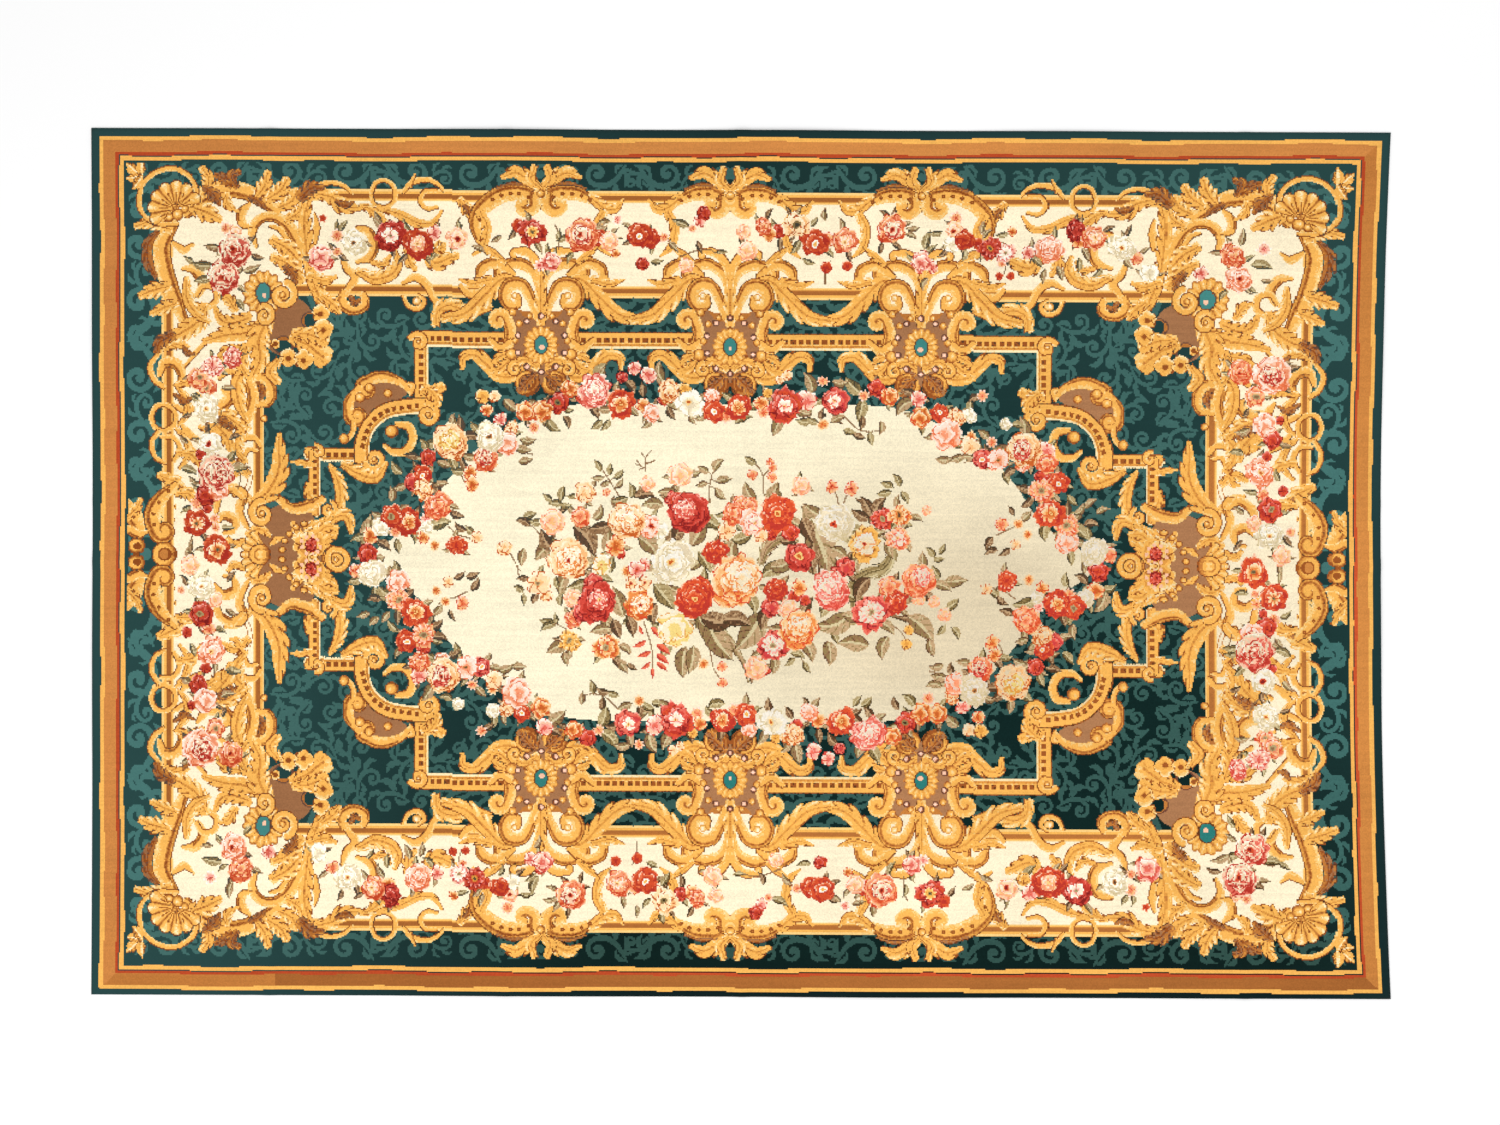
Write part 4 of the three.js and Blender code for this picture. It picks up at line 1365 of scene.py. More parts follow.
class TopPosies(Posy):
    """The flowers of the long borders."""

    LEAF_LENGTH = 1.9
    LEAF_WIDTH = 0.46
    FILLER_SHARE = 1.9 / 2.1
    STEMS = (
        ((-36.5, 66), (-36.4, 69), (-37.2, 71)),
        ((-58, 68), (-58.4, 71), (-57.4, 72.6)),
        ((-10.5, 64.5), (-6, 66), (-2, 65.4)),
        ((20, 59), (20, 62), (21, 64)),
        ((56.5, 60), (57.6, 62), (57.8, 65)),
    )
    LEAVES = {
        GREENERY: (
            (-34, 64, 1.5), (-15.5, 63.5, 1.6), (-10.5, 71.5, 2), (-82.5, 70.5, 1.5), (-84, 70.5, 1.4),
            (-58, 70.8, 1.4),
            (-63, 64.5, 2), (9.5, 71.7, 1.5), (13.7, 66.8, 1.9), (16.5, 64, 1.5), (41.5, 68.5, 2.2),
            (43, 70, 1.6),
            (57, 70, 1.5), (64.5, 64, 1.7), (77, 62, 1.4), (17.8, 72.2, 1.4), (-36.5, 69, 1.4, 80),
            (-38.5, 66, 1.4),
            (42.4, 66.6, 1.5), (-2, 65.6, 1.3), (49, 65, 1.3), (73, 63.4, 1.6),
        ),
        AUTUMN: (
            (-27, 71.5, 1.5), (-27, 70, 1.4), (-24.5, 69.5, 1.3), (-22, 70.5, 1.3), (-53.5, 65.8, 1.6),
            (20, 73.8, 1.3, 90),
            (23, 71.8, 1.5), (37, 71.5, 1.5), (38.5, 71, 1.5), (38, 69, 1.4), (41, 59, 1.5),
            (53, 71.5, 1.5), (54, 70, 1.4),
            (63, 68, 1.4), (69, 61.5, 1.8), (74.5, 65.5, 1.6), (87, 66.5, 1.4), (-38.5, 61.5, 1.5),
            (66, 61, 1.6),
            (-75, 72.4, 1.5), (-50, 68, 1.4), (-12, 66.4, 1.6),
        ),
        DUSK: (
            (-46.5, 69, 1.5), (-22, 67.5, 1.4), (-85, 66, 1.4), (-82.5, 63.8, 1.4), (2.7, 68.2, 1.5),
            (8.5, 73.8, 1.5),
            (12.3, 74.3, 1.3), (10.5, 67.2, 1.6), (35, 67, 1.4), (31.5, 66.5, 1.4), (83.5, 70.8, 1.4),
            (79.5, 71, 1.4),
            (34.5, 74.2, 1.3), (-70, 63.6, 1.5), (-6.4, 66.4, 1.5), (44.6, 65.8, 1.5), (72.8, 73.4, 1.2),
        ),
    }
    INNER = {
        (Bloom.DAISY, Tint.PALE, Heart.GREY): ((-72.5, 68.5, 1.7), (57.8, 66, 1.2)),
        (Bloom.PEONY, Tint.HAZE, Heart.SUNNY): ((-66.8, 66.8, 1.7), (76.5, 69.2, 1.5), (24, 68, 1.5)),
        (Bloom.POPPY, Tint.CAMEO, Heart.RED): ((-31.8, 69, 2), (34, 70.5, 1.8)),
        (Bloom.DAISY, Tint.GILT, Heart.OLIVE): ((-42, 69.5, 1.2),),
    }
    FLOWERS = {
        (Bloom.ASTER, Tint.CRIMSON, Heart.GOLD): ((-42, 69.5, 3), (54.5, 67, 2.4)),
        (Bloom.STAR, Tint.SCARLET): (
            (-45, 71, 1.5), (-30.5, 71.5, 1.2), (-87, 72, 0.8), (15.5, 69.5, 1.2), (32, 69, 1.3),
            (50, 68.3, 1.5),
            (52, 68, 1.3), (20, 62.5, 1.2), (24.5, 63, 1.1), (56.5, 61, 0.9), (59, 61.2, 0.9),
            (-86, 62.5, 1.2),
        ),
        (Bloom.ROSE, Tint.CORAL): ((-31.8, 69, 3.6), (34, 70.5, 3.1), (24, 68, 2.7)),
        (Bloom.POPPY, Tint.CRIMSON): (
            (-32.5, 66.6, 1.2), (-5.5, 73.8, 1.5), (10.5, 70.2, 1.6), (40.5, 65.2, 1), (-18.8, 63, 1.4),
        ),
        (Bloom.POPPY, Tint.SCARLET, Heart.PALE): ((-28.5, 68.5, 1.8), (-19.5, 68.8, 2.6), (18, 67.5, 2.8)),
        (Bloom.POPPY, Tint.SCARLET): ((-17.2, 68.2, 2.2), (49, 68.5, 2)),
        (Bloom.POPPY, Tint.HAZE): ((-26, 67.7, 2), (3.5, 66, 2.1), (3, 70, 1.6), (-9.5, 62.6, 1.6)),
        (Bloom.DAISY, Tint.PINK): (
            (-24, 72.2, 1), (-6.5, 72, 1.4), (-40.5, 62.5, 1.2), (42.5, 62.8, 1.4), (62.5, 66, 1.5),
            (-63, 69, 1.8),
        ),
        (Bloom.STAR, Tint.ORANGE): ((-24.5, 65, 1), (73, 68.5, 1.5), (59, 70.5, 1), (8, 69.5, 1.6)),
        (Bloom.DAISY, Tint.CORAL): (
            (-14, 68.5, 1), (-84, 68.3, 1.3), (-84, 65, 1), (20.5, 68.5, 1.6), (47.5, 73, 1.3),
            (57, 63.8, 1),
            (85, 65, 1.5), (-8, 70.4, 0.9),
        ),
        (Bloom.PEONY, Tint.SCARLET): ((-66.8, 66.8, 3.5),),
        (Bloom.ROSE, Tint.CORAL, Heart.SUNNY): ((76.5, 69.2, 2.7),),
        (Bloom.PEONY, Tint.CERISE): ((-72.5, 68.5, 3.3), (72.5, 70.8, 2.4)),
        (Bloom.POPPY, Tint.HAZE, Heart.RED): ((-58, 68, 2.3), (47, 70.3, 1.8)),
        (Bloom.POPPY, Tint.PINK): ((-38, 63.5, 2), (40, 63.5, 2.2), (-87.5, 63.8, 2.7)),
        (Bloom.POPPY, Tint.GILT): ((-61.6, 66, 1.5),),
        (Bloom.PEONY, Tint.WHITE, Heart.BROWN): ((-80.5, 66.8, 2.7),),
        (Bloom.ASTER, Tint.PEACH, Heart.OLIVE): ((14, 71.5, 2.9),),
        (Bloom.PEONY, Tint.CORAL): ((7, 71, 1.9),),
        (Bloom.DAISY, Tint.WHITE): ((46.5, 67.5, 1.8), (88, 61.8, 2)),
        (Bloom.ASTER, Tint.PINK, Heart.BROWN): ((57.8, 66, 2.1),),
        (Bloom.ROSE, Tint.BLUSH): ((67, 67, 2.9),),
        (Bloom.PEONY, Tint.WHITE, Heart.SUNNY): ((82, 67, 2.9),),
    }


class SidePosies(Posy):
    """The flowers of the short borders and of the corners over them."""

    LEAF_LENGTH = 1.9
    LEAF_WIDTH = 0.46
    FILLER_SHARE = 1.9 / 2.1
    STEMS = (
        ((-112, 27), (-110, 29), (-109, 32)),
        ((-106, 20), (-105, 17), (-105.6, 14)),
        ((-115.5, 4), (-116, 2), (-115.6, -1)),
        ((-113.5, 63), (-110, 62), (-108, 61)),
    )
    LEAVES = {
        GREENERY: (
            (-113.5, 62.5, 2.3, 170), (-116, 63, 1.5, 150), (-105, 53.5, 1.6), (-108.5, 39.5, 1.5),
            (-111.5, 43, 1.4),
            (-107, 21.5, 1.9), (-105.2, 18.3, 1.5), (-116, 18, 2.1, -20), (-109.5, -16, 1.6),
            (-115.3, -19.7, 1.6),
            (-104.8, -41, 1.8), (-117, 9.7, 1.5), (-106.4, -24, 1.8), (-116.6, -12, 1.3),
            (-107.6, 5.6, 1.6),
            (-114.8, 33.6, 1.4), (111.4, 63.4, 2.4, -10), (108.8, 65.2, 1.4, 30), (109.6, 58.6, 1.3),
            (103.4, 57, 1.5),
        ),
        AUTUMN: (
            (-111.5, 66, 1.5), (-109.3, 64.3, 1.4), (-102.5, 61.5, 2, 20), (-104.8, 57, 1.5),
            (-115.5, 16, 1.4),
            (-116, 0.5, 1.6), (-115.5, 2, 1.4), (-107.6, -29, 1.8), (-117, -26, 1.6), (-117.4, 25, 1.6),
            (-107, -12, 1.5),
            (-107.4, 35.8, 1.6), (-117, -42.6, 1.5), (107, 69.8, 2, 80), (101.6, 66, 1.5),
            (112.4, 60.6, 1.4),
        ),
        DUSK: (
            (-101.2, 64, 1.6), (-109.3, 55.8, 1.3), (-113, 39.5, 1.5), (-112, 27.5, 1.5),
            (-117.5, -5.5, 1.6, 130),
            (-117, -37.5, 1.5), (-106, 25.4, 1.4), (-106.8, -4.6, 1.5), (-108.4, -32.4, 1.4),
            (-116.8, 30, 1.3),
        ),
    }
    INNER = {
        (Bloom.PEONY, Tint.CAMEO, Heart.RED): ((-113.5, -40.5, 2.3), (-109.5, 17.8, 2)),
        (Bloom.DAISY, Tint.ORANGE, Heart.OLIVE): ((-110.2, 1, 1.8), (-114.5, 6.5, 1.3)),
    }
    FLOWERS = {
        (Bloom.ROSE, Tint.BLUSH, Heart.RED): ((-113.5, -40.5, 4.1), (106.8, 60.8, 2.9)),
        (Bloom.ROSE, Tint.CAMEO, Heart.RED): ((-106.5, 65.5, 3.7), (-109, 59.5, 3.6)),
        (Bloom.PEONY, Tint.PINK): ((-106.7, 42.5, 2.2),),
        (Bloom.PEONY, Tint.CORAL): ((105, 65.4, 2.7),),
        (Bloom.DAISY, Tint.PINK): ((98.8, 61.8, 1.6), (111.6, 67.2, 1.3)),
        (Bloom.DAISY, Tint.CORAL): (
            (-108, 69.8, 1.2), (-114.5, 11, 1.3), (-110.8, 7.8, 1), (-110.5, 5.6, 0.9), (-118, -7.5, 1),
            (-112, -15.5, 1.4),
        ),
        (Bloom.POPPY, Tint.HAZE): ((-106, 69, 1.4), (-116, -2.5, 2.1), (-110.6, -9.4, 1.6)),
        (Bloom.POPPY, Tint.CORAL, Heart.GREY): ((-114, 38, 2.3), (-112.5, 36, 2), (-110.5, -36, 2.1)),
        (Bloom.ASTER, Tint.PINK): ((-111, 40.5, 2.4),),
        (Bloom.PEONY, Tint.WHITE, Heart.SUNNY): ((-112.5, 31.5, 2.9), (-113.5, -6.8, 2.9)),
        (Bloom.POPPY, Tint.WHITE, Heart.RED): ((-112, 24, 2.5),),
        (Bloom.STAR, Tint.CRIMSON): (
            (-113.8, 21.5, 1.2), (-112.8, -23.5, 1.2), (-115.5, -31, 1), (-116.5, -16.2, 1.2),
            (-112.2, 9.8, 1),
        ),
        (Bloom.ROSE, Tint.CAMEO): ((-110, 17.6, 4.1),),
        (Bloom.ROSE, Tint.CORAL, Heart.RED): ((-107.2, -41, 2.6),),
        (Bloom.POPPY, Tint.BLUSH): ((-110, 14.2, 2.4), (-112.5, -30, 2.5)),
        (Bloom.POPPY, Tint.CRIMSON): ((-112.8, 12.8, 2.2), (-114, -26.8, 2)),
        (Bloom.POPPY, Tint.SCARLET, Heart.GREY): ((-114.5, 6.5, 2.9),),
        (Bloom.ASTER, Tint.SCARLET, Heart.OLIVE): ((-110.2, 1, 3.3),),
        (Bloom.POPPY, Tint.CRIMSON, Heart.GREY): ((-113.8, -12.3, 2.6),),
        (Bloom.PEONY, Tint.BLUSH, Heart.SUNNY): ((-111.5, -20, 3.1),),
    }


class Wreath(Posy):
    """The flowers round the cream field."""

    STEMS = (
        ((-60, 7), (-58, 5.6), (-56, 5), (-53.6, 4.2)),
        ((24, 31), (26, 29), (28, 28), (32, 28)),
        ((-56, 16), (-57.2, 18), (-57, 20.6)),
        ((56, 6.4), (59, 7.8), (62.4, 9.4)),
        ((-42, 22.6), (-46, 23.6), (-49, 25)),
        ((44, 22.3), (48, 22.8), (51, 23.6)),
    )
    LEAVES = {
        GREENERY: (
            (-79.5, 4.5, 1.6), (-71, 3, 1.5), (-62, 7.5, 2.4), (-58, 19, 1.5), (-65.5, 24, 1.5),
            (-37.5, 29, 1.8),
            (-28.4, 29, 1.5), (2.8, 30.2, 1.8, 20), (27.3, 32.6, 2.3), (15.5, 30, 1.5), (17.5, 30.3, 1.4),
            (73, 7, 2.4),
            (60.5, 29.3, 1.4), (71.5, 1.8, 1.6), (75.5, 7, 1.5), (26, 37.5, 2.4), (-55.5, 6.5, 1.4),
            (25, 28, 1.3),
            (29.5, 26.5, 1.4), (58, 18.5, 1.4), (-26.6, 29, 1.3), (50.5, 33.5, 1.4), (72, 14, 1.4),
            (-71, 19.5, 1.6),
        ),
        AUTUMN: (
            (-78, 7.5, 2.3, 60), (-72.5, 13.8, 1.6), (-70.5, 15.5, 1.5), (-46.8, 33, 1.9, -40),
            (-27.5, 39.2, 1.9),
            (-14.3, 40, 2.2, 100), (16.5, 38, 2.2, 110), (22.5, 30.5, 1.6), (37, 33, 2.3), (-59, 29.5, 1.5),
            (-43, 25.8, 1.6, 0), (-44, 23.8, 1.7, -10), (-43.5, 21.3, 1.5, 10), (62.5, 10.5, 1.5),
            (31.5, 28.8, 1.3),
            (76, 13, 1.4), (73.5, 12, 1.4), (78.5, 11.5, 1.3), (45, 22.3, 1.6, 180), (48, 22.3, 1.6, 200),
            (50, 22.5, 1.4, 170), (-61, 20.2, 1.5), (53.3, 27.5, 1.5), (23, 38.5, 1.6), (-18, 29.5, 1.4),
            (-61.5, 15.8, 1.4),
        ),
        DUSK: (
            (-74, 3, 1.6), (-68, 22, 1.5), (-67, 19.7, 1.4), (-55.5, 26, 1.8), (-56.5, 20.5, 1.4),
            (-21.5, 37, 1.6),
            (-18.8, 36.3, 1.5), (-12.5, 31.5, 1.5), (-58.3, 10, 1.6), (-57.3, 7.3, 1.4), (54.5, 4.8, 1.5),
            (55, 2.8, 1.4),
            (57.8, 3, 1.3), (51.5, 35, 1.4), (59, 19.5, 1.5), (62, 16.5, 1.6), (62.5, 13.5, 1.5),
            (71, 12, 1.5),
            (76, 8.5, 1.5), (27, 27, 1.3), (27.5, 29.8, 1.4), (-29, 31.5, 1.6), (59.2, 11.5, 1.1),
            (37.5, 36, 1.6),
            (19.6, 31.4, 1.3), (-35, 29.4, 1.4),
        ),
    }
    INNER = {
        (Bloom.PEONY, Tint.LEMON): ((-59.8, 25.2, 2.3),),
        (Bloom.PEONY, Tint.CAMEO, Heart.RED): ((61.5, 24.5, 2.3), (-52.3, 21.8, 1.7)),
        (Bloom.DAISY, Tint.ORANGE, Heart.SUNNY): ((-23.3, 33.3, 1.8), (67.3, 11, 1.8), (1.7, 33, 1.6),
                                                  (-68.7, 8, 1.6)),
        (Bloom.DAISY, Tint.PALE, Heart.SUNNY): ((11.5, 33.3, 1.6), (21.8, 34.3, 1.4)),
        (Bloom.PEONY, Tint.PALE): ((-29, 36, 2.4),),
    }
    FLOWERS = {
        (Bloom.POPPY, Tint.CRIMSON): (
            (-77.5, 1.2, 2.1), (-64.3, 21.5, 1.8), (-31.5, 35, 1.5), (65.5, 18.8, 1.5), (77, -0.5, 1.9),
            (30.5, 37.3, 1.8),
        ),
        (Bloom.DAISY, Tint.ORANGE): (
            (-77, 5.2, 1.8), (-65.7, 4.8, 1.4), (-63, 3, 1.2), (-55.5, 18.8, 1.5), (-55, 16.3, 1.6),
            (-52, 32, 1.4),
            (-18.5, 33, 1.6), (6.5, 34, 1.5), (19.5, 29.3, 1.2), (60.7, 8.8, 1.1), (62.7, 6.5, 1.1),
            (50.7, 27, 1.1),
        ),
        (Bloom.POPPY, Tint.WHITE): ((-74.5, 6.8, 2), (-64.8, 6.8, 1.4), (50.5, 31.5, 1.5), (58, 30, 1.3)),
        (Bloom.POPPY, Tint.SCARLET, Heart.GREY): ((-72.3, 9, 2.5),),
        (Bloom.PEONY, Tint.SCARLET, Heart.PALE): ((-68.7, 8, 2.9), (1.7, 33, 2.7)),
        (Bloom.DAISY, Tint.CORAL): (
            (-71.5, 6, 1.2), (-41.7, 28.3, 1.2), (-0.8, 31, 1.3), (7, 32, 1.3), (19.5, 38.5, 1),
            (28, 35.5, 1.1),
            (53, 35.8, 1.1), (55, 26, 1.1), (57, 8.8, 1.5), (79.8, 2.3, 1.6),
        ),
        (Bloom.DAISY, Tint.PINK): (
            (-65, 8.7, 1.1), (-49, 30, 1.4), (-17.5, 39.5, 1.7), (-20.5, 41, 1.4), (39.5, 35, 1.8),
            (16, 34.3, 2.2),
            (66.5, 24.3, 1.9),
        ),
        (Bloom.PEONY, Tint.CORAL): ((-62.3, 11.3, 3.1), (66.5, 21.5, 2.3)),
        (Bloom.PEONY, Tint.PEACH): ((-65.5, 14.8, 2.2), (-46.7, 28, 1.7), (-13, 36, 2.5), (47.7, 31, 1.9)),
        (Bloom.POPPY, Tint.MAGENTA): ((-68, 16.3, 1.9), (-23, 39, 1.2)),
        (Bloom.POPPY, Tint.SCARLET, Heart.PALE): ((-65.8, 17.8, 2), (-3.5, 31.8, 2.4), (44.2, 32, 1.9),
                                                  (69, 17.3, 2.3)),
        (Bloom.ROSE, Tint.PEACH): ((-59.8, 24.8, 3.8),),
        (Bloom.ROSE, Tint.PEACH, Heart.RED): ((61.5, 24.5, 3.8),),
        (Bloom.ROSE, Tint.CORAL, Heart.RED): ((-52.3, 21.8, 2.7),),
        (Bloom.PEONY, Tint.WHITE, Heart.BROWN): ((-51.3, 26.3, 3.3),),
        (Bloom.POPPY, Tint.BLUSH): (
            (-47.5, 25, 2.4), (-16.5, 31.5, 1.9), (-4, 35, 1.7), (71, 4.8, 2.5), (61.5, 21.2, 1.6),
            (45.2, 27.5, 3.2),
        ),
        (Bloom.STAR, Tint.GILT): ((-52.7, 34.8, 1.5), (7.8, 36, 1.1), (-9.5, 36.6, 1.3)),
        (Bloom.STAR, Tint.PEACH): (
            (-50.3, 35, 1.3), (-54, 5, 1.3), (12, 39.8, 1.1), (10.5, 38.8, 0.9), (60.2, 4.5, 1.2),
            (50.5, 24.8, 1.9),
        ),
        (Bloom.POPPY, Tint.ORANGE): (
            (-43.5, 31.5, 2.1), (-40, 31.5, 2.3), (-34, 36.5, 1.9), (33.5, 35.5, 1.9), (40, 30.8, 2.2),
        ),
        (Bloom.POPPY, Tint.CRIMSON, Heart.OLIVE): ((-36.7, 33.5, 2.2),),
        (Bloom.ASTER, Tint.SCARLET): ((-58.2, 3.3, 2.2),),
        (Bloom.PEONY, Tint.PINK): ((-29, 36, 3.7),),
        (Bloom.ASTER, Tint.SCARLET, Heart.SUNNY): ((-23.3, 33.3, 3.1), (67.3, 11, 3.2)),
        (Bloom.STAR, Tint.CRIMSON): ((-14, 34, 1.2), (32, 35.4, 1)),
        (Bloom.DAISY, Tint.WHITE, Heart.SUNNY): ((-8.7, 33.5, 3.1),),
        (Bloom.ASTER, Tint.CRIMSON, Heart.PALE): ((11.5, 33.3, 3.7),),
        (Bloom.POPPY, Tint.MAGENTA, Heart.PALE): ((21.8, 34.3, 2.8), (53, 22.3, 2.1)),
        (Bloom.DAISY, Tint.BLUSH, Heart.BROWN): ((56.3, 22.3, 2.4),),
        (Bloom.ASTER, Tint.CORAL, Heart.GREY): ((65.5, 15.8, 2.6), (70.8, 8.5, 2.5)),
        (Bloom.PEONY, Tint.WHITE): ((76.5, 3, 3.1),),
    }


class Bouquet(Posy):
    """The bouquet in the middle of the field."""

    STEMS = (
        ((-45, -1), (-45, -2.6), (-44, -4), (-42.4, -4.4)),
        ((-47, 1.8), (-46, 0), (-44.6, -2)),
        ((-23.4, 13.4), (-25, 16), (-26.6, 18.4), (-28, 20.6)),
        ((-18.2, 19.1), (-18.1, 20.7), (-18.1, 21.9), (-17.7, 22.6), (-16.9, 23.5)),
        ((-18.1, 21.9), (-18.6, 22.5), (-19, 23.1)),
        ((-17.9, 20.8), (-17.1, 21), (-16, 21.5)),
        ((-18.5, 19.9), (-19.1, 20.3), (-19.6, 20.9), (-20, 21.4)),
        ((-19.1, 20.3), (-20.2, 20.6)),
        ((-18.5, 19.9), (-19.4, 19.5)),
        ((-4.3, 12.6), (-4.4, 15.4), (-3.9, 18.4)),
        ((-18.5, -12.6), (-17.4, -16), (-16.6, -19.6), (-16.7, -23)),
        ((-4.6, -17), (-4, -20), (-3.4, -22.4), (-1.6, -25)),
        ((7, 15), (7, 18), (6.2, 20), (4.2, 22)),
        ((7, 18.6), (9.6, 21)),
        ((22.7, 12.4), (22.3, 14.2), (21.4, 16)),
        ((23.6, 12.4), (24.2, 14), (25.2, 15.6)),
        ((33.8, -12.8), (35.6, -14), (36.8, -15.6)),
        ((13.6, -16.6), (14.8, -19.4), (16.4, -22.4)),
        ((41.6, -2.2), (43.6, -3.4), (46, -3.6)),
        ((-37, 12), (-36, 14), (-35.4, 15.6)),
        ((-38.4, -12.2), (-36, -13.6), (-34.4, -14.4)),
        ((-44, 7.8), (-42, 7.4), (-40.4, 5.6)),
    )
    LEAVES = {
        GREENERY: (
            (-37, 12, 1.5, 175), (-35.6, 14.4, 1.5, 80), (-38.8, 13.4, 1.2, 140), (-35, 11.9, 1.2, 5),
            (-28.2, 20.2, 1.3, 120), (-25.5, 19.5, 1.2, 85), (-23.9, 18.6, 1.3, 45), (-21.4, 15, 1.5, 95),
            (-45, -6, 1.3, 150), (-44, -8, 1.1, -80), (-38.8, -12.6, 1.5, 170), (-38.6, -14, 1.5, 200),
            (-37, -12, 1.1, 100), (-35.8, -8, 1.3, 80), (-36.8, -4.4, 1.2, 100), (-25.2, -0.6, 1.7, 80),
            (-32.4, -4.6, 2.2, 200), (-27, -3.4, 1.9, -20), (-14.2, -7.2, 3.3, -50), (-5.6, 0.2, 2.2, -60),
            (14.2, -19.4, 1.5, -20), (16.2, -21.8, 1.2, -60), (12.6, -20.6, 1.2, 220), (9.4, -2, 2.8, 200),
            (33, 16.6, 1.4, 160), (35, 17.6, 1.4, 120), (32.4, 15, 1.5, 190), (36.6, 14, 1.4, -60),
            (43.4, -1.7, 1.5, 120),
            (42.2, 2.4, 1.3, 130), (44.6, 3.2, 1.2, 60), (44, 0.8, 1.1, 10), (46.8, -8.4, 1.7, 40),
            (47.4, -14.6, 1.4, -60),
            (44.4, -13.8, 1.3, 230), (-42.6, 9.6, 1.5, 20), (4.4, 21.8, 1.4, 150), (-2.8, 2.8, 2, 10),
            (2.4, 5.8, 2.2, 20),
            (21.6, -15.6, 1.4, -60), (-23.6, 13.2, 1.7, 190),
        ),
        AUTUMN: (
            (-28.2, 17.7, 1.2, 180), (-26.6, 16.4, 1.1, 200), (-23.8, 16.6, 1.2, 50), (-26.5, 4.4, 2.4, 80),
            (-16.4, 11.9, 2.3, 180), (-17.6, 3.2, 3, -45), (-6.6, 6, 3, 60), (-5.6, 19.6, 1.3, 150),
            (-2.4, 20.6, 1.6, 50),
            (-1.4, 17.5, 1.6, 10), (-6, 16.5, 1.2, 200), (-2, 14.8, 1.5, -50), (-39.6, 2.4, 2.6, 230),
            (-44, 1, 1.8, 260), (-27.6, -14.4, 2, 190), (-23.8, -8.6, 3.3, 110), (-36.6, -18.4, 2.4, 200),
            (-35, -20.4, 1.4, -75), (-22.6, -18.6, 1.5, -40), (-9.6, -21, 3.2, -95),
            (-8.2, -20.4, 2.8, -100),
            (-4.8, -15.2, 3.6, -60), (-2.2, -16.4, 4.4, -55), (4, -14, 4.6, 235), (10.6, 0.4, 2.6, 20),
            (4.4, 15, 2.3, 120), (8.8, 15, 2.4, 60), (18.4, 3.6, 5.2, -70), (26, -17, 3.1, 175),
            (20.4, -18.8, 2.5, -85),
            (47.4, -3.6, 2.3, 5), (32.6, -17.6, 2.4, 255), (40, -13.6, 3.6, -45), (42.4, -17.6, 1.8, -75),
            (44.6, -4.9, 1.9, -20),
            (22.6, 2.2, 2, 150), (21.8, -11.6, 3.8, 200), (25.6, -11.6, 2.2, -20), (39, 9.4, 1.4, -10),
            (33.8, 3.4, 2, -80),
            (-28.4, 10.4, 1.7, 60), (-10, 7.4, 1.9, 230), (-18.4, 15.6, 1.2, 100), (-23.2, -22, 1.8, -50),
        ),
        DUSK: (
            (-31.2, 4.6, 3.7, -55), (-27.6, 7.4, 2.4, 190), (-18.4, 13.8, 2, 5), (-24.6, -21.2, 1.4, -60),
            (-21.4, -13.6, 2.1, -75), (-24.2, -14, 2.1, -70), (-16, -10.8, 2.2, -100),
            (-2.6, -11.6, 3.6, 0),
            (-38.8, 4.6, 2.4, 120), (1.2, -12.6, 3, -10), (28.6, 12, 2.3, 120), (27.4, 10.4, 2, 150),
            (31.6, 12, 2.1, 60), (16.4, 7, 2.8, -65), (17.6, 1.4, 2.8, -90), (28, -5.4, 2.8, 240),
            (-44, 8, 1.6, 160),
            (-32, -2.6, 1.6, 10), (7.4, -11.6, 2.2, 250), (-21, -22.2, 1.1, -30), (12.2, 5.4, 1.8, 20),
        ),
    }
